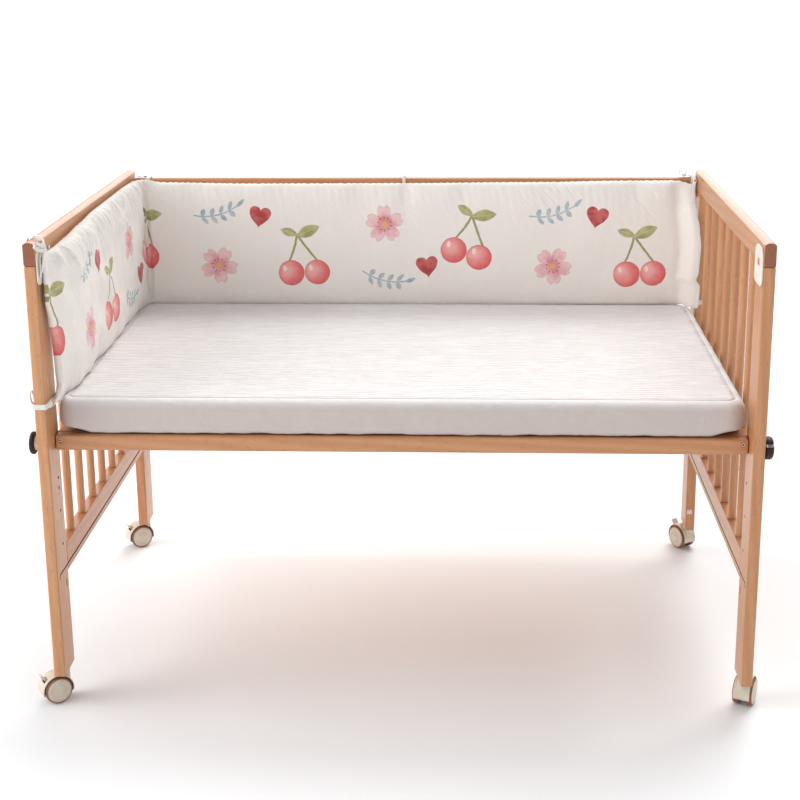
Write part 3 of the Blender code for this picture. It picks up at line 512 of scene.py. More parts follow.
def spot_group():
    """A motif's own place, in millimetres from its middle, repeated along the cloth."""
    takes = {"Vector": (0, 0, 0), "Right": 0, "Up": 0, "Turn": 0, "Size": 1}
    tree, taken, given = group("print_place", takes, {"Vector": (0, 0, 0)})
    u, v = apart(taken["Vector"])[:2]
    half = PRINT_REPEAT / 2
    across = (u * 1000 + half - taken["Right"]) % PRINT_REPEAT - half
    up = v * 1000 - taken["Up"]
    values = {"Vector": joined(across, up), "Angle": taken["Turn"]}
    spot = add("VectorRotate", values, rotation_type="Z_AXIS")
    fill(given, {"Vector": spot / taken["Size"]})
    return tree


def motif(draw):
    """A motif's group. draw gives its colour and mask from its place in millimetres and the wash."""
    takes = {"Vector": (0, 0, 0), "Wash": 0.5}
    tree, taken, given = group("print_" + draw.__name__, takes, {"Colour": WHITE, "Mask": 0})
    colour, mask = draw(taken["Vector"], taken["Wash"])
    fill(given, {"Colour": colour, "Mask": mask})
    return tree


def laid(over, colour, mask):
    """Paints a colour over what is there. over and the result are (colour, mask)."""
    below, covered = over
    return mixed(mask, below, colour), calc("MAXIMUM", covered, mask)


def leaf(x, y, at, turn, long, wide):
    """A leaf with its middle there and its tip turned that way: its mask, its vein's mask and a shade
    that goes from one side to the other."""
    cosine, sine = math.cos(math.radians(turn)), math.sin(math.radians(turn))
    dx, dy = x - at[0], y - at[1]
    share = (dx * cosine + dy * sine) / long
    across = dy * cosine - dx * sine
    inside = abs(across) - (1 - share * share) * wide
    return step(inside, 0.7, -0.7), step(abs(across), 0.9, 0.3, 0, 0.45), step(across, -wide, wide)


def cherries(place, wash):
    """Two cherries on thin stems that meet under two leaves."""
    x, y = apart(place)[:2]
    drawn = (srgb(150, 160, 96), 0)
    for foot, lean, bend in ((-10, -0.30, -0.0050), (-16, 0.45, 0.0012)):
        rise = 40 - y
        middle = rise * lean + rise * rise * bend
        line = step(abs(x - middle), 2.5, 1.5) * (y > foot) * (y < 41)
        drawn = laid(drawn, srgb(150, 146, 82), line)
    for at, turn, long, wide in (((19, 42), 14, 21, 9.5), ((-12, 46), 152, 15, 7)):
        mask, vein, side = leaf(x, y, at, turn, long, wide)
        green = mixed(wash * 0.6 + side * 0.4, srgb(146, 142, 70), srgb(192, 186, 124))
        drawn = laid(drawn, mixed(vein, green, srgb(214, 212, 166)), mask)
    for at, radius in (((-21.5, -22), 21.5), ((21, -28), 21)):
        spot = place - (*at, 0)
        reach = length(spot)
        lit = length(spot - (-7, 5, 0)) + wash * 9
        red = mixed(step(lit, 4, 33), srgb(250, 176, 172), srgb(228, 74, 78))
        red = mixed(step(reach, radius - 3.2, radius, 0, 0.55), red, srgb(212, 62, 68))
        gleam = length((spot - (-9.5, 9, 0)) * (1, 0.62, 1))
        red = mixed(step(gleam, 4.2, 2, 0, 0.8), red, srgb(255, 236, 234))
        drawn = laid(drawn, red, step(reach, radius + 0.6, radius - 0.6))
    return drawn


def blossom(place, wash):
    """A flower of five notched petals with a ring of stamens."""
    x, y = apart(place)[:2]
    reach = length(place)
    angle = calc("ARCTAN2", y, x)
    lobe = abs(calc("COSINE", angle * 2.5))
    edge = calc("POWER", lobe, 0.55) * 19 + 13.5 - calc("POWER", lobe, 24) * 5
    inside = reach - edge
    pink = mixed(step(wash * 12 + reach, 8, 34), srgb(224, 138, 150), srgb(244, 204, 204))
    pink = mixed(step(lobe, 0.28, 0.06, 0, 0.75), pink, srgb(222, 142, 152))
    pink = mixed(step(inside, -2.6, -0.2, 0, 0.5), pink, srgb(226, 150, 160))
    spokes = abs(calc("SINE", angle * 5))
    stamens = step(spokes, 0.62, 0.36) * step(abs(reach - 10.5), 1.9, 1)
    drawn = laid((pink, step(inside, 0.8, -0.8)), srgb(196, 84, 92), stamens)
    return laid(drawn, srgb(232, 176, 96), step(reach, 5.2, 4))


def sprig(place, wash):
    """A bent stem with pairs of small leaves."""
    x, y = apart(place)[:2]
    bent = x * x * -0.006 + (y + 3)
    stem = step(abs(bent), 1.4, 0.6) * step(abs(x), 38.5, 37.5)
    mask, vein = leaf(x % 15 - 7.5, abs(bent), (0.6, 6.6), 58, 7.6, 3.4)[:2]
    mask = mask * step(abs(x), 30.4, 29.6)
    tip = leaf(x, bent, (40, 0), 4, 8, 3.6)[0]
    colour = mixed(wash, srgb(140, 164, 178), srgb(184, 198, 204))
    colour = mixed(vein, colour, srgb(214, 222, 226))
    return colour, calc("MAXIMUM", calc("MAXIMUM", mask, tip), stem)


def heart(place, wash):
    x, y = apart(place / (16, 15, 1))[:2]
    lifted = y * 1.15 + 0.25 - calc("SQRT", abs(x)) * 0.85
    reach = length(joined(x, lifted))
    red = mixed(step(y * 0.25 + wash, 0, 1), srgb(176, 36, 42), srgb(198, 64, 66))
    return red, step(reach, 1.04, 0.96)


def seam_creases(flat):
    """Sharp little creases that slant down from the upper seam, and fewer up from the lower one. They
    are strong on the left run and broken into clusters on the back."""
    u, v = apart(flat)[:2]
    up = v / 0.270
    left = step(u, 0.84, 0.70)
    total = 0
    rows = ((0.50, 0.99, 0.75, 1, 0.95), (0.30, 0.01, -0.30, 0.45, 0.40))
    for low, high, lean, deep, share in rows:
        at = joined(v * lean + u, v * 0.14)
        at = cloudy(flat, 16, 2, 0.5, "Color") * (0.016, 0, 0) + at
        lines = cloudy(at, 74, 2, 0.45)
        ridge = calc("SUBTRACT", 1, abs(lines * 5 - 2.5), clamp=True)
        clusters = step(cloudy(flat, 9, 1), 0.48, 0.62, 0.15, 1)
        kept = calc("MAXIMUM", left, clusters * share) * step(up, low, high)
        total = ridge * kept * deep + total
    return total


def bumper_cotton(weave):
    """White cotton with a print of cherries, blossoms, sprigs and hearts in a half-drop repeat."""
    made, shader = finish("printed_cotton", Specular_IOR_Level=0.2, Sheen_Weight=0.25, Sheen_Roughness=0.5)
    fill(shader, {"Subsurface_Weight": 0.06, "Subsurface_Radius": (0.004, 0.003, 0.003)})
    flat = from_mesh(made, "UV", "UVMap", uv_map="cloth")
    drawn_at = cloudy(flat, 90, 2, 0.5, "Color") * (0.0022, 0.0022, 0) + flat
    wash = step(cloudy(flat, 46, 3, 0.6), 0.3, 0.7)
    threads = use(made, weave, Vector=flat)
    colour = mixed(threads["Shade"], srgb(242, 235, 228), srgb(249, 243, 238))
    place = spot_group()
    groups = {draw.__name__: motif(draw) for draw in (cherries, blossom, sprig, heart)}
    for kind, right, up, turn, size in PRINT:
        spot = use(made, place, Vector=drawn_at, Right=right, Up=up, Turn=math.radians(turn), Size=size)
        drawn = use(made, groups[kind], Vector=spot["Vector"], Wash=wash)
        colour = mixed(drawn["Mask"] * (wash * -0.10 + 0.95), colour, drawn["Colour"])
    rough = step(threads["Shade"], 0.2, 0.8, 0.78, 0.92)
    dress(shader, colour, rough, seam_creases(flat) * 1.6 + threads["Height"], 0.55, 0.0016)
    return made


def sheet_cotton(weave):
    """The fitted sheet: a crinkled, ribbed top (1 on the mesh), a smooth edge with soft folds (0.5) and
    a skirt painted greyer as painted shade (0). The ribs' grooves are painted darker, as painted shade."""
    made, shader = finish("sheet_cloth", Specular_IOR_Level=0.2, Sheen_Weight=0.2, Sheen_Roughness=0.5)
    place = from_mesh(made, "Object")
    top = from_mesh(made, "Fac", "Attribute", attribute_name="ribbed")
    threads = use(made, weave, Vector=place)
    bent = cloudy(place, 24, 3, 0.55, "Color") * (0.010, 0.012, 0) + place
    x, y, z = apart(bent)
    ribs = step(calc("SINE", y * (2 * math.pi / 0.0105)), -1, 1)
    broken = step(cloudy(bent * (0.35, 2.2, 1), 70, 2), 0.28, 0.62, 0.25, 1)
    ribs = ribs * broken * step(top, 0.75, 0.90)
    on_edge = step(top, 0.05, 0.40) * step(top, 0.95, 0.70)
    slanted = joined(y * 1.6 + x, y * 0.5, z)
    folds = cloudy(slanted, 38, 3, 0.5) * on_edge
    # Painted shade: the skirt, and the shoulder more and more towards it, are painted greyer than the top.
    skirt = mixed(threads["Shade"], srgb(196, 184, 179), srgb(209, 198, 193))
    bright = mixed(threads["Shade"], srgb(240, 235, 234), srgb(250, 247, 246))
    colour = mixed(step(top, 0.05, 0.60), skirt, bright)
    # Painted shade: darker in the ribs' grooves, where their bump is low.
    colour = mixed(ribs * 0.34, colour, srgb(214, 200, 198))
    rough = step(threads["Shade"], 0.2, 0.8, 0.8, 0.92)
    height = folds * 3 + (ribs * -1.1 + threads["Height"] * 0.5)
    dress(shader, colour, rough, height, 0.9, 0.0022)
    return made


def tape_cotton(weave):
    """Plain cotton tape: a close herringbone across it."""
    made, shader = finish("tape_cloth", Specular_IOR_Level=0.2, Sheen_Weight=0.2)
    flat = from_mesh(made, "UV", "UVMap", uv_map="cloth")
    threads = use(made, weave, Vector=flat, Thread=0.0006)
    u, v = apart(flat)[:2]
    bones = calc("SINE", (u + abs(v - 0.005)) * (2 * math.pi / 0.0016))
    colour = mixed(step(bones, -1, 1, 0, 0.5), srgb(240, 236, 232), srgb(222, 215, 209))
    rough = step(threads["Shade"], 0.2, 0.8, 0.78, 0.9)
    dress(shader, colour, rough, bones * 0.4 + threads["Height"] * 0.3, 0.5, 0.0004)
    return made


# Meshes


def placed(name, data):
    """A new object in the scene."""
    made = bpy.data.objects.new(name, data)
    bpy.context.scene.collection.objects.link(made)
    return made


def mesh_piece(name, points, faces, finishes, uvs=None, indices=None):
    """A smooth mesh object at the origin. uvs has one place in metres for each point."""
    mesh = bpy.data.meshes.new(name)
    mesh.from_pydata([tuple(p) for p in points], [], faces)
    for made in finishes:
        mesh.materials.append(made)
    if indices:
        mesh.polygons.foreach_set("material_index", indices)
    if uvs:
        layer = mesh.uv_layers.new(name="cloth")
        flat = [c for loop in mesh.loops for c in uvs[loop.vertex_index]]
        layer.data.foreach_set("uv", flat)
    mesh.shade_smooth()
    return placed(name, mesh)


def smooth_step(t):
    t = min(max(t, 0), 1)
    return t * t * (3 - 2 * t)


def arc(radius, steps, centre, first, last):
    angles = [math.radians(first + (last - first) * i / steps) for i in range(steps + 1)]
    return [(centre[0] + radius * math.cos(a), centre[1] + radius * math.sin(a)) for a in angles]


# Bumper


def read_row(rows, column, at):
    """The smooth value between the rows on either side of that place."""
    for a, b in zip(rows, rows[1:]):
        if at <= b[0]:
            return a[column] + (b[column] - a[column]) * smooth_step((at - a[0]) / (b[0] - a[0]))
    return rows[-1][column]


def pad_place(along, away, z):
    """Where a spot of the pad is in the crib."""
    y = PAD_START + along
    if y < PAD_LEFT:
        return point(-INNER + away, y, z)
    if y < PAD_LEFT + PAD_ARC:
        angle = (y - PAD_LEFT) / PAD_BEND
        radius = PAD_BEND - away
        x = -INNER + PAD_BEND - radius * math.cos(angle)
        return point(x, PAD_LEFT + radius * math.sin(angle), z)
    return point(along - PAD_X, BACK_FACE - away, z)


def folds_at(along, up):
    """The depth of the troughs that run into the front from its seams."""
    depth = 0
    for folds, from_seam in ((PAD_FOLDS_TOP, 1 - up), (PAD_FOLDS_FOOT, up)):
        for at, deep, half, runs in folds:
            reach = from_seam / runs
            if reach < 1 and abs(along - at) < 4 * half:
                width = half * (1 + 0.6 * reach)
                depth += deep * (1 - reach) * math.exp(-(((along - at) / width) ** 2))
    return depth


def gathers_at(along, from_top, from_foot):
    """Fine folds that fan from the seams, deep on the left run and shallow on the back."""
    left = smooth_step((PAD_CORNER + 20 - along) / 90)
    sway = 11 * noise.noise((along / 70, 2.3, 0))
    total = 0
    for from_seam, slant, long, deep, pitch, seed in (
        (from_top, 0.75, 62, 2.2 + 5.2 * left, 16, 1),
        (from_foot, -0.25, 28, 0.8 + 1.2 * left, 19, 7),
    ):
        fade = math.exp(-((from_seam / long) ** 1.3)) * smooth_step(from_seam / 3 + 0.25)
        if fade < 0.01:
            continue
        lean = slant * (0.35 + 0.65 * left) * (0.6 + noise.noise((along / 150, seed, 4)))
        at = along - lean * from_seam + sway
        uneven = 0.55 + 0.9 * noise.noise((at / 26, seed, 9))
        wave = 0.5 + 0.5 * math.cos(2 * math.pi * at / pitch)
        total += deep * fade * max(uneven, 0) * (wave**3 - 0.3)
    return total


def corner_crease(along, up):
    """The soft double crease down the corner: a narrow ridge between two troughs."""
    off = along - PAD_CORNER - 3 * math.sin(up * 5)
    high, half = CORNER_RIDGE
    deep, half_trough, apart_by = CORNER_TROUGH
    troughs = sum(math.exp(-(((off + side * apart_by) / half_trough) ** 2)) for side in (-1, 1))
    return high * math.exp(-((off / half) ** 2)) - deep * troughs


def pad_section(share):
    """A section of the pad: points from its foot up the front and down the back, with their places on
    the flat cloth."""
    top = read_row(PAD_RUN, 1, share * (PAD_X + INNER))

    def reach(z):
        first = read_row(PAD_FRONT_END, 1, z) - PAD_START
        last = PAD_X + read_row(PAD_RIGHT_END, 1, z)
        along = first + (last - first) * share
        curled = smooth_step((PAD_CURL_RUN - (last - along)) / (PAD_CURL_RUN - 8))
        return along, along - first, last - along, curled

    lifted = min(reach(PAD_FOOT)[3] * 6, 1)
    foot = PAD_FOOT + (MATTRESS_HIGH[2] + 1 - PAD_FOOT) * lifted
    front, back = [], []
    for k in range(PAD_ROWS + 1):
        t = k / PAD_ROWS
        up = 0.25 * t + 0.75 * (0.5 - 0.5 * math.cos(math.pi * t))
        z = foot + (top - foot) * up
        along, from_front, from_right, curled = reach(z)
        shift = read_row(PAD_RIGHT_END, 2, z) * curled
        seam = PAD_SEAM[0] + (PAD_SEAM[1] - PAD_SEAM[0]) * up
        thinned = 1
        for (run, least), distance in zip(PAD_THIN, (from_front, from_right)):
            thinned = min(thinned, least + (1 - least) * smooth_step(distance / run))
        full = max(1 - abs(2 * up - 1) ** 7, 0) ** 0.42 * thinned
        behind = seam - (seam - PAD_BACK) * full
        left_at_corner = CREASE[0] + (CREASE[1] - CREASE[0]) * up
        near_corner = math.exp(-(((along - PAD_CORNER) / CREASE_WIDTH) ** 2))
        crowned = read_row(PAD_RUN, 2, along) - seam
        away = seam + crowned * full * (1 - (1 - left_at_corner) * near_corner)
        away -= folds_at(along, up) * min(full * 2, 1)
        from_top, from_foot = top - z, z - foot
        fine = gathers_at(along, from_top, from_foot)
        fine += corner_crease(along, up) * smooth_step(up / 0.1) * smooth_step((1 - up) / 0.06)
        rumple = noise.fractal((along / 88, z / 60, 3.1), 0.8, 2.1, 4)
        fine += PAD_RUMPLE * rumple * (0.45 + 0.55 * smooth_step((PAD_CORNER + 60 - along) / 120))
        pulled = math.exp(-from_front / 16) + math.exp(-from_right / 14)
        fine += PAD_PULL * pulled * math.sin(z / 3.4 + 3 * noise.noise((z / 30, 8, 1)))
        away += fine * min(full * 1.6, 1)
        away = max(away, behind + 3 * min(full * 3, 1))
        rim = 1 - smooth_step(min(from_top, from_foot) / 9)
        pucker = PAD_PUCKER * rim * math.sin(along / 2.1 + 4 * noise.noise((along / 26, 5, 2)))
        flat = ((along + PAD_START) * MM, (z - PAD_FOOT) * MM)
        front.append((pad_place(along, away + shift, z + pucker), flat))
        if 0 < k < PAD_ROWS:
            back.append((pad_place(along, behind + shift, z + pucker), flat))
    return [*front, *reversed(back)]


def bumper(cotton):
    sections = round((PAD_X + INNER) / PAD_STEP)
    rows = [pad_section(k / sections) for k in range(sections + 1)]
    n = len(rows[0])
    faces = []
    for k in range(sections):
        a, b = k * n, (k + 1) * n
        faces += [(a + i, b + i, b + (i + 1) % n, a + (i + 1) % n) for i in range(n)]
    for first, turn in ((0, 1), (sections * n, -1)):
        for k in range(PAD_ROWS):
            face = dict.fromkeys(first + i % n for i in (k, k + 1, n - k - 1, n - k))
            faces.append(tuple(face)[::turn])
    points, uvs = zip(*[spot for row in rows for spot in row])
    made = mesh_piece("padded_bumper", points, faces, [cotton], uvs)
    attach(made, "crib")
    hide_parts("bumper")


# Mattress


def mattress(cotton):
    """A slab with a grid on its top and round shoulders. The sheet's seam runs round the top's edge."""
    low, high = MATTRESS_LOW, MATTRESS_HIGH
    middle = [(a + b) / 2 for a, b in zip(low, high)]
    half = [(b - a) / 2 for a, b in zip(low, high)]
    cells = [round(2 * half[0] / MATTRESS_STEP), round(2 * half[1] / MATTRESS_STEP)]

    def on_plan(i, j, inset):
        """A grid spot on the rounded rectangle that is that much smaller."""
        radius = max(MATTRESS_CORNER - inset, 4)
        size = [h - inset for h in half]
        spot = [(2 * k / n - 1) * s for k, n, s in zip((i, j), cells, size)]
        past = [max(abs(c) - (s - radius), 0) / radius for c, s in zip(spot, size)]
        if past[0] and past[1]:
            a, b = past
            rounded = (a * math.sqrt(1 - b * b / 2), b * math.sqrt(1 - a * a / 2))
            spot = [math.copysign(s - radius + radius * r, c) for c, s, r in zip(spot, size, rounded)]
        return middle[0] + spot[0], middle[1] + spot[1]

    border = [(i, 0) for i in range(cells[0])] + [(cells[0], j) for j in range(cells[1])]
    border += [(i, cells[1]) for i in range(cells[0], 0, -1)] + [(0, j) for j in range(cells[1], 0, -1)]
    points, faces, ribbed, index = [], [], [], {}
    for j in range(cells[1] + 1):
        for i in range(cells[0] + 1):
            x, y = on_plan(i, j, MATTRESS_SHOULDER)
            across = [1 - (2 * k / n - 1) ** 4 for k, n in zip((i, j), cells)]
            rise = MATTRESS_CROWN + MATTRESS_WAVE * noise.fractal((x / 150, y / 90, 6), 0.8, 2, 3)
            index[i, j] = len(points)
            points.append(point(x, y, high[2] + rise * across[0] * across[1]))
            ribbed.append(1)
    for j in range(cells[1]):
        for i in range(cells[0]):
            faces.append((index[i, j], index[i + 1, j], index[i + 1, j + 1], index[i, j + 1]))
    profile = [(MATTRESS_SHOULDER - 0.9, high[2] - 1.3, 0.7)]  # inset, height, and how much it is top
    for k in range(1, 8):
        a = math.radians(90 * k / 7)
        inset = MATTRESS_SHOULDER * (1 - math.sin(a))
        profile.append((inset, high[2] - MATTRESS_SHOULDER * (1 - math.cos(a)), max(0.7 - 0.1 * k, 0)))
    side_high, side_low = high[2] - MATTRESS_SHOULDER, low[2] + MATTRESS_UNDER
    profile += [(0, side_high + (side_low - side_high) * k / 6, 0) for k in range(1, 7)]
    for k in range(1, 6):
        a = math.radians(90 * k / 5)
        profile.append((MATTRESS_UNDER * (1 - math.cos(a)), side_low - MATTRESS_UNDER * math.sin(a), 0))
    ring = [index[key] for key in border]
    n = len(border)
    for inset, z, top in profile:
        start = len(points)
        for k, (i, j) in enumerate(border):
            x, y = on_plan(i, j, max(inset, 0))
            slack = noise.fractal((x / 70, y / 70, z / 40), 0.8, 2, 3)
            lift = smooth_step((high[2] - z) / 14) * smooth_step((z - low[2]) / 14)
            off = (x - middle[0], y - middle[1])
            at_side = [abs(c) > h - MATTRESS_EDGE for c, h in zip(off, half)]
            out = Vector([math.copysign(near, c) for near, c in zip(at_side, off)] + [0])
            sunk = MATTRESS_SLACK[0] + MATTRESS_SLACK[1] * slack
            spot = Vector((x, y, z)) - out.normalized() * sunk * lift
            low_share = smooth_step((low[2] + MATTRESS_HEM - z) / MATTRESS_HEM)
            past = [max(abs(c) - h + MATTRESS_GATHER, 0) / MATTRESS_GATHER for c, h in zip(off, half)]
            corner = min(past[0] * past[1] * 2.2, 1)
            wave = noise.noise((x / 34, y / 34, 2)) + 0.6 * noise.noise((x / 13, y / 13, 5))
            spot.z += low_share * (HEM_LIFT[0] * corner + HEM_LIFT[1] + HEM_LIFT[2] * wave)
            points.append(point(*spot))
            ribbed.append(top)
        faces += [(ring[k], start + k, start + (k + 1) % n, ring[(k + 1) % n]) for k in range(n)]
        ring = list(range(start, start + n))
    faces.append(tuple(ring[::-1]))
    made = mesh_piece("sheeted_mattress", points, faces, [cotton])
    made.data.attributes.new("ribbed", "FLOAT", "POINT").data.foreach_set("value", ribbed)
    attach(made, "crib")
    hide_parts("mattress")


# Ties

ALONG_X, ALONG_Y, ALONG_Z = (1, 0, 0), (0, 1, 0), (0, 0, 1)
TAPE_SECTION = ((-0.5, 0), (-0.46, -0.42), (-0.2, -0.5), (0, -0.34), (0.2, -0.5), (0.46, -0.42))
TAPE_SECTION += tuple((-a, -b) for a, b in TAPE_SECTION)


def through(spots, per=8):
    """A smooth curve through the spots, as a list of points."""
    spots = [Vector(spot) for spot in spots]
    line = []
    for i in range(len(spots) - 1):
        p0, p1 = spots[max(i - 1, 0)], spots[i]
        p2, p3 = spots[i + 1], spots[min(i + 2, len(spots) - 1)]
        for k in range(per):
            t = k / per
            bent = (2 * p0 - 5 * p1 + 4 * p2 - p3) * t * t + (3 * p1 - p0 - 3 * p2 + p3) * t**3
            line.append(0.5 * (2 * p1 + (p2 - p0) * t + bent))
    return [*line, spots[-1]]


def around(low, high, lift, corner_steps=5):
    """A closed path just outside a rectangle."""
    turn = TAPE_CLEAR + TAPE_THICK / 2
    path = []
    corners = ((high[0], low[1], -90), (high[0], high[1], 0), (low[0], high[1], 90), (low[0], low[1], 180))
    for a, b, start in corners:
        path += arc(turn, corner_steps, (a, b), start, start + 90)
    return [Vector(lift(a, b)) for a, b in path]


def ribbon(line, across, wide, closed=False):
    """Flat tape along a line: its points, faces and places on the flat cloth."""
    points, faces, uvs = [], [], []
    n, m = len(line), len(TAPE_SECTION)
    run = 0
    for i, p in enumerate(line):
        after = line[(i + 1) % n] if closed else line[min(i + 1, n - 1)]
        before = line[i - 1] if closed else line[max(i - 1, 0)]
        run += (p - line[i - 1]).length if i else 0
        ahead = (after - before).normalized()
        aside = (Vector(across) - ahead * Vector(across).dot(ahead)).normalized()
        normal = ahead.cross(aside)
        for a, b in TAPE_SECTION:
            points.append(point(*(p + aside * wide * a + normal * TAPE_THICK * b)))
            uvs.append((run * MM, (a + 0.5) * wide * MM))
    for k in range(n if closed else n - 1):
        a, b = k * m, (k + 1) % n * m
        faces += [(a + i, a + (i + 1) % m, b + (i + 1) % m, b + i) for i in range(m)]
    if not closed:
        faces.append(tuple(range(m - 1, -1, -1)))
        faces.append(tuple(range(len(points) - m, len(points))))
    return points, faces, uvs, run


def knot_ball(middle, size, turns=10, rounds=16):
    """A pulled knot: a small ball whose surface shows the tape's crossed turns."""
    points, faces, uvs = [], [], []
    for j in range(turns + 1):
        lat = math.pi * j / turns
        for i in range(rounds):
            lon = 2 * math.pi * i / rounds
            swell = 1 + 0.10 * math.sin(2 * lon + 3.2 * lat) * math.sin(lat) + 0.05 * math.sin(4 * lat)
            shape = (math.sin(lat) * math.cos(lon), math.sin(lat) * math.sin(lon), math.cos(lat))
            spot = [c + s / 2 * 0.92 * swell * d for c, s, d in zip(middle, size, shape)]
            points.append(point(*spot))
            uvs.append((lon * size[0] / 2 * MM, lat * size[2] / 2 * MM))
    for j in range(turns):
        a, b = j * rounds, (j + 1) * rounds
        faces += [(a + i, b + i, b + (i + 1) % rounds, a + (i + 1) % rounds) for i in range(rounds)]
    return points, faces, uvs


def tie(name, cotton, band, runs, knots):
    """One tape as one mesh: its band, runs and knots. Its length is worked out but not kept."""
    points, faces, uvs, length = [], [], [], 0
    parts = [(ribbon(line, across, wide), None) for line, across, wide in runs]
    if band:
        parts.append((ribbon(*band, closed=True), None))
    parts += [(knot_ball(middle, size), size) for middle, size in knots]
    for made, size in parts:
        first = len(points)
        points += made[0]
        faces += [tuple(first + i for i in face) for face in made[1]]
        uvs += made[2]
        length += made[3] if size is None else 2.2 * sum(size) / 2
    piece = mesh_piece(name + "_tape", points, faces, [cotton], uvs)
    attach(piece, "crib")
    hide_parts(name)
    round(length * MM, 3)


def round_back_rail(x, slack=0):
    low, high = (BACK_FACE, BACK_RAIL[0]), (DEPTH, BACK_RAIL[1] + slack)
    return around(low, high, lambda y, z: (x, y, z))


def ties(cotton):
    knot = (-590, 27, 835.5)
    over = [knot, (-591.5, 30, 843), (-593.6, 32.5, 850.5), (-598.5, 34.5, 855.6)]
    over += [(-605, 36, 856.6), (-612.5, 37, 855.8), (-619.5, 38.5, 852.5)]
    over += [(-623, 42, 844), (-623.2, 52, 828), (-623, 66, 813)]
    over += [(-620.5, 79, 805.5), (-613, 85, 807), (-603, 86, 807.5)]
    over += [(-598.4, 84, 813.5), (-598, 80, 830)]
    loop = [(-591.5, 25, 838), (-591.8, 12, 844.5), (-593.8, 1, 850), (-598, -5.5, 850.5)]
    loop += [(-596, -8, 845.5), (-590.8, 3, 838), (-588.6, 24.5, 833.5)]
    first = [(-591.5, 24, 837), (-592.8, 18.5, 832), (-594.2, 13, 823)]
    first += [(-594.6, 11, 806), (-594.2, 10, 790)]
    second = [(-588.5, 24, 836), (-588, 17.5, 831.5), (-588, 10.5, 823.5)]
    second += [(-588.6, 6.5, 813), (-589.6, 5, 800)]
    runs = [(through(over), ALONG_Y, 10), (through(loop), ALONG_Z, 6)]
    runs += [(through(first), ALONG_Y, 7), (through(second), ALONG_Y, 7)]
    knots = [(knot, (10, 11, 12))]
    tie("front_top_tie", cotton, None, runs, knots)

    z = 566
    knot, outer = (-594, 9, 567.5), (-622.3, 10.5, z)
    led = [(-605, -1.9, z), (-600.5, -1.7, z + 0.3), (-596.8, 2.5, z + 1), knot, (-591.8, 14.6, 566.5)]
    loop = [(-623.2, 9.5, z + 1), (-626.5, 9, 575), (-627.5, 9, 586)]
    loop += [(-624.5, 9.5, 592), (-621.9, 10.5, 583), (-621.5, 11.5, z + 3)]
    band = around((-OUTER, 0), (-INNER, POST_DEPTH), lambda x, y: (x, y, z))
    runs = [(through(led), ALONG_Z, 9), (through(loop), ALONG_Y, 8)]
    knots = [(knot, (7, 8, 12)), (outer, (3.6, 11, 11.6))]
    tie("front_foot_tie", cotton, (band, ALONG_Z, 10), runs, knots)

    x = -568
    knot = (x, 774.4, 820)
    over = [knot, (x - 5, 774.6, 829), (x - 10, 772.6, 837.5), (x - 16, 763, 840.4)]
    over.append((x - 23, 755.5, 839.6))
    fall = [knot, (x + 6, 777, 810), (x + 9, 775, 796), (x + 10, 774.5, 778)]
    runs = [(through(over), ALONG_X, 7), (through(fall), ALONG_X, 8)]
    knots = [(knot, (9, 6.6, 9))]
    tie("corner_tie", cotton, (round_back_rail(x), ALONG_X, 10), runs, knots)

    x = -18
    knot = (x, 774.4, 824)
    runs = []
    for side, z in ((-1, 776), (1, 770)):
        tail = [knot, (x + side * 6, 777.5, 813), (x + side * 9, 775.4, 798)]
        runs.append((through([*tail, (x + side * 11, 774.8, z)]), ALONG_X, 7))
    knots = [(knot, (9, 6.6, 9))]
    tie("middle_tie", cotton, (round_back_rail(x, 3), ALONG_X, 6.5), runs, knots)

    x = 592.5
    ring = [Vector((x + 2 + b, 737, 832.4 + a)) for a, b in arc(3.2, 16, (0, 0), 0, 337.5)]
    knot, turn = (574.5, 760, 840.9), (x, 747.6, 836.5)
    rise = [(594.5, 738, 834.5), (593.5, 745, 838.4), (591.5, 752, 840.6), (585, 758.5, 841)]
    rise.append(knot)
    loop = [(572.6, 760, 841.6), (564.6, 759.5, 845.5), (564.5, 759, 852.5)]
    loop += [(571.5, 759, 856.2), (579, 759.5, 850.5), (577, 760, 842)]
    fall = [(594.3, 735, 829.8), (592, 724, 832), (589.5, 713, 824)]
    fall += [(588.5, 708, 809), (588.5, 706.5, 796)]
    runs = [(through(rise), ALONG_X, 8), (through(loop), ALONG_Y, 8)]
    runs += [(through(fall), ALONG_X, 7), (ring, ALONG_Y, 9)]
    knots = [(knot, (9, 9, 6.4)), (turn, (7, 4.2, 7))]
    tie("right_top_tie", cotton, (round_back_rail(x), ALONG_X, 9), runs, knots)

    z = 578
    knot = (OUTER + 3.9, 730, z)
    runs = []
    for side, low_z in ((-1, 540), (1, 534)):
        tail = [knot, (627.5, 730 + side * 6, z - 11), (625.5, 730 + side * 9, z - 25)]
        runs.append((through([*tail, (624.5, 730 + side * 11, low_z)]), ALONG_Y, 7))
    band = around((INNER, DEPTH - POST_DEPTH), (OUTER, DEPTH), lambda x, y: (x, y, z))
    knots = [(knot, (6.6, 9, 9))]
    tie("right_foot_tie", cotton, (band, ALONG_Z, 10), runs, knots)


# Casters

WHEEL_SIDES = 72
WHEEL_PROFILE = (  # across, radius, and whether it is tread, from the middle outwards
    (6.4, 3, 0),
    (6.4, 20.4, 0),
    (6.4, 20.8, 1),
    (6.5, 23.2, 1),
    (7, 24.2, 1),
    (8.2, 24.8, 1),
    (10, 25, 1),
    (14.6, 25, 1),
    (16.2, 24.5, 1),
    (17.2, 23.2, 1),
    (17.5, 21.8, 1),
    (16.9, 21.2, 0),
    (16.8, 20.4, 0),
    (17.6, 19.8, 0),
    (18, 18.8, 0),
    (18.2, 13.4, 0),
    (17.8, 12.9, 0),
    (17.8, 12.3, 0),
    (18.2, 11.8, 0),
    (18.2, 5, 0),
    (17.9, 0.02, 0),
)


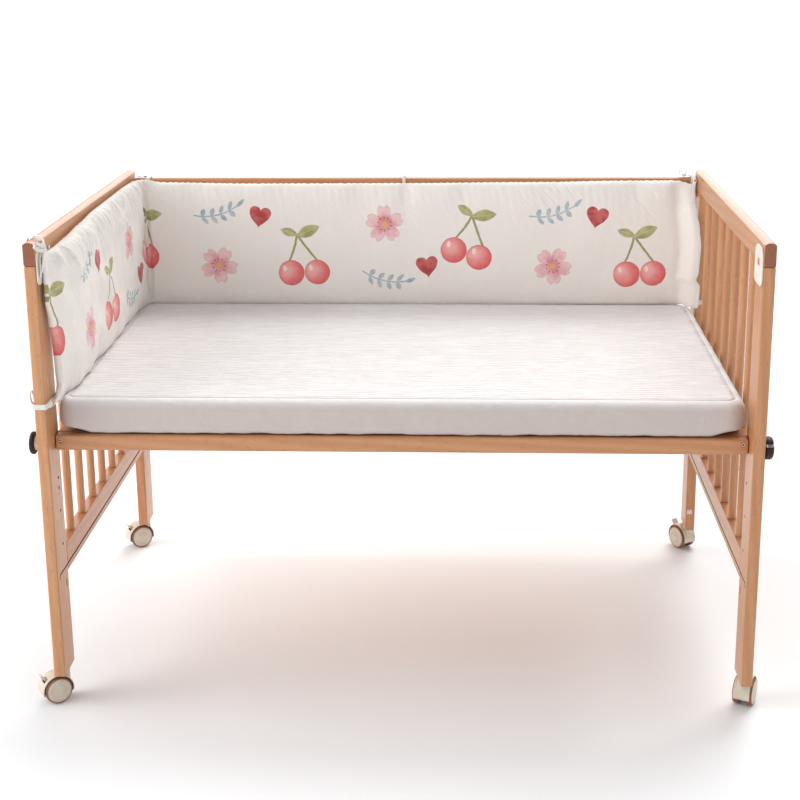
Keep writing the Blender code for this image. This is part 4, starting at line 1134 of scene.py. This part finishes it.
def wheels(place, name, hub, tread):
    """Two wheels on their axle, with round treads and a faint ring in each disc."""
    points, faces, kinds = [], [], []
    for side in (-1, 1):
        first = len(points)
        for across, radius, kind in WHEEL_PROFILE:
            for i in range(WHEEL_SIDES):
                a = 2 * math.pi * (i + 0.5) / WHEEL_SIDES
                spot = (TRAIL + radius * math.cos(a), side * across, WHEEL_RADIUS + radius * math.sin(a))
                points.append(place @ (Vector(spot) * MM))
        for k in range(len(WHEEL_PROFILE) - 1):
            a, b = first + k * WHEEL_SIDES, first + (k + 1) * WHEEL_SIDES
            for i in range(WHEEL_SIDES):
                j = (i + 1) % WHEEL_SIDES
                face = (a + i, a + j, b + j, b + i)
                faces.append(face[::-1] if side > 0 else face)
                kinds.append(WHEEL_PROFILE[k + 1][2])
    first = len(points)
    rods = 24
    for across in (-6.5, 6.5):
        for i in range(rods):
            a = 2 * math.pi * i / rods
            spot = (TRAIL + 3 * math.cos(a), across, WHEEL_RADIUS + 3 * math.sin(a))
            points.append(place @ (Vector(spot) * MM))
    for i in range(rods):
        j = (i + 1) % rods
        faces.append((first + i, first + rods + i, first + rods + j, first + j))
        kinds.append(0)
    made = mesh_piece(f"{name}_wheel_pair", points, faces, [hub, tread], indices=kinds)
    made.data.set_sharp_from_angle(angle=math.radians(50))
    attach(made, f"{name}_wheelset")
    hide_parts(f"{name}_wheels")


def caster_place(row):
    """Where a caster's own frame is: on the floor under its swivel, with +X where its wheels trail."""
    side, back, trails = row[1:]
    y = DEPTH - SWIVEL_Y if back else SWIVEL_Y
    turned = Matrix.Rotation(math.radians(trails), 4, "Z")
    return Matrix.Translation(point(side * SWIVEL_X, y, 0)) @ turned


def shape_hood(piece, place):
    """Writes on the mesh how far each point is from the axle, and raises the lower edge of the hood's
    leading side, so that the treads show under it."""
    back = place.inverted()
    reach = []
    for vertex in piece.data.vertices:
        spot = back @ vertex.co / MM
        reach.append(math.hypot(spot.x - TRAIL, spot.z - WHEEL_RADIUS) * MM)
        if spot.x < TRAIL:
            vertex.co.z += HOOD_LIFT * MM * (1 - smooth_step((spot.z - HOOD_FOOT) / HOOD_LIFT_RUN))
    piece.data.attributes.new("from_axle", "FLOAT", "POINT").data.foreach_set("value", reach)


# Studio

CAMERA_AT = (0.12175, -2.76684, 1.34818)
CAMERA_TURN = (-0.0482, 0.2577, -0.0092)  # yaw, pitch and roll in radians
CAMERA_LENS = (66.83, 36, -0.0985)  # its length, its sensor's width and its upward shift


def light(name, at, towards, size, power):
    lamp = bpy.data.lights.new(name, "AREA")
    lamp.shape, lamp.size, lamp.energy = "DISK", size, power
    made = placed(name, lamp)
    made.location = at
    made.rotation_euler = (Vector(towards) - Vector(at)).to_track_quat("-Z", "Y").to_euler()


def sky_light(name, away, strength, spread, colour=(1, 1, 1)):
    """Broad light from a wide window or ceiling, from that direction."""
    lamp = bpy.data.lights.new(name, "SUN")
    lamp.energy, lamp.angle, lamp.color = strength, math.radians(spread), colour
    placed(name, lamp).rotation_euler = Vector(away).to_track_quat("Z", "Y").to_euler()


def studio():
    """A pale floor and a pale world, brighter where the camera sees it, with light from the back."""
    paper = finish("floor_paper", Base_Color=(0.905, 0.925, 0.94, 1), Roughness=0.9)[0]
    size = 40
    corners = [(-size, -size, 0), (size, -size, 0), (size, size, 0), (-size, size, 0)]
    floor = mesh_piece("studio_floor", corners, [(0, 1, 2, 3)], [paper])
    world = bpy.data.worlds.new("studio")
    world.use_nodes = True
    seen = add("LightPath", (), "Is Camera Ray", world.node_tree)
    background = {"Color": (0.975, 0.988, 1, 1), "Strength": seen * 0.45 + 0.60}
    fill(world.node_tree.nodes["Background"].inputs, background)
    scene = bpy.context.scene
    scene.world = world
    scene.view_settings.view_transform = "Standard"
    sky_light("window", (0.40, 0.85, 1.25), 1.55, 34, (1, 0.985, 0.96))
    sky_light("far_wall", (0.05, 1, 0.38), 0.82, 44)
    sky_light("far_side", (-1, 0.10, 0.75), 0.85, 50)
    light("fill", (-2.8, -1.1, 1.6), (0.4, 0.1, 0.6), 2.2, 40)


def camera():
    yaw, pitch, roll = CAMERA_TURN
    ahead = Vector((math.sin(yaw) * math.cos(pitch), math.cos(yaw) * math.cos(pitch), -math.sin(pitch)))
    right = Vector((math.cos(yaw), -math.sin(yaw), 0))
    up = right.cross(ahead)
    rolled = right * math.cos(roll) + up * math.sin(roll)
    upright = up * math.cos(roll) - right * math.sin(roll)
    lens = bpy.data.cameras.new("camera")
    lens.lens, lens.sensor_width, lens.shift_y = CAMERA_LENS
    made = placed("camera", lens)
    turned = Matrix((rolled, upright, -ahead)).transposed().to_4x4()
    made.matrix_world = Matrix.Translation(CAMERA_AT) @ turned
    bpy.context.scene.camera = made


# Pieces


def refined(nodes, names, body, finish_slot, made, edge=0):
    """CAD solids with their triangles merged into clean faces, flat up to softly lit edges."""
    pieces = []
    for name in names:
        bm = bmesh.new()
        bm.from_mesh(nodes[name].data)
        bmesh.ops.remove_doubles(bm, verts=bm.verts, dist=1e-5)
        bmesh.ops.dissolve_limit(bm, angle_limit=math.radians(0.6), verts=bm.verts, edges=bm.edges)
        points = [v.co.copy() for v in bm.verts]
        bm.verts.index_update()
        faces = [tuple(v.index for v in face.verts) for face in bm.faces]
        bm.free()
        form = mesh_piece(name + "_form", points, faces, [made])
        if edge:
            bevel = form.modifiers.new("edges", "BEVEL")
            bevel.width, bevel.segments, bevel.limit_method = edge * MM, 2, "ANGLE"
            bevel.angle_limit = math.radians(50)
        else:
            form.data.set_sharp_from_angle(angle=math.radians(60))
        even = form.modifiers.new("even", "WEIGHTED_NORMAL")
        even.mode, even.weight, even.keep_sharp = "FACE_AREA", 50, True
        bpy.context.view_layer.update()
        graph = bpy.context.evaluated_depsgraph_get()
        mesh = bpy.data.meshes.new_from_object(form.evaluated_get(graph))
        bpy.data.objects.remove(form)
        mesh.name = f"{name}_{finish_slot}"
        piece = placed(mesh.name, mesh)
        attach(piece, body)
        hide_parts(name)
        pieces.append(piece)
    return pieces


def main():
    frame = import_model()
    nodes = frame["nodes"]
    camera()
    studio()
    grain = grain_group()
    upright, end_rail = wood("beech_up", grain, "Z"), wood("beech_end", grain, "Y")
    level = wood("beech_level", grain, "X")
    sides = ("left", "right")
    posts = [f"{end}_{side}_post" for end in ("front", "back") for side in sides]
    bars = [f"{side}_bar_{k + 1}" for side in sides for k in range(7)]
    rails = [f"{side}_{kind}_rail" for kind in ("top", "low") for side in sides]
    refined(nodes, [*posts, *bars], "crib", "beech", upright)
    refined(nodes, rails, "crib", "beech", end_rail, 0.9)
    refined(nodes, ["front_rail"], "crib", "beech", level)
    refined(nodes, ["mattress_base"], "crib", "beech", level, 1)
    refined(nodes, ["back_frame"], "crib", "beech", wood("beech_frame", grain, "frame"))
    cream = plastic("caster_plastic", *CASTER_CREAM, 0.36)[0]
    housing = hood_plastic()
    for row in CASTERS:
        hood = refined(nodes, [f"{row[0]}_hood"], f"{row[0]}_caster", "cream_plastic", housing, 0.7)[0]
        shape_hood(hood, caster_place(row))
        refined(nodes, [f"{row[0]}_pedal"], f"{row[0]}_brake", "cream_plastic", cream, 0.6)
    pale = plastic("collar_plastic", (230, 200, 194), (240, 220, 214), 0.36)[0]
    refined(nodes, ["post_cap"], "crib", "cream_plastic", pale)
    refined(nodes, ["left_knob_collar"], "crib", "cream_plastic", pale, 0.6)
    refined(nodes, ["right_knob_collar"], "crib", "cream_plastic", pale, 0.3)
    refined(nodes, ["left_catch_plate", "right_catch_plate"], "crib", "cream_plastic", catch_plate(), 0.9)
    refined(nodes, ["left_knob", "right_knob"], "crib", "black_plastic", knob_plastic(), 0.7)
    refined(nodes, ["left_screw", "right_screw"], "crib", "screw_steel", screw_steel(), 0.4)
    weave = weave_group()
    bumper(bumper_cotton(weave))
    mattress(sheet_cotton(weave))
    ties(tape_cotton(weave))
    brown = plastic("tread_rubber", (132, 84, 66), (150, 98, 78), 0.6, 1400)[0]
    for row in CASTERS:
        wheels(caster_place(row), row[0], cream, brown)


main()
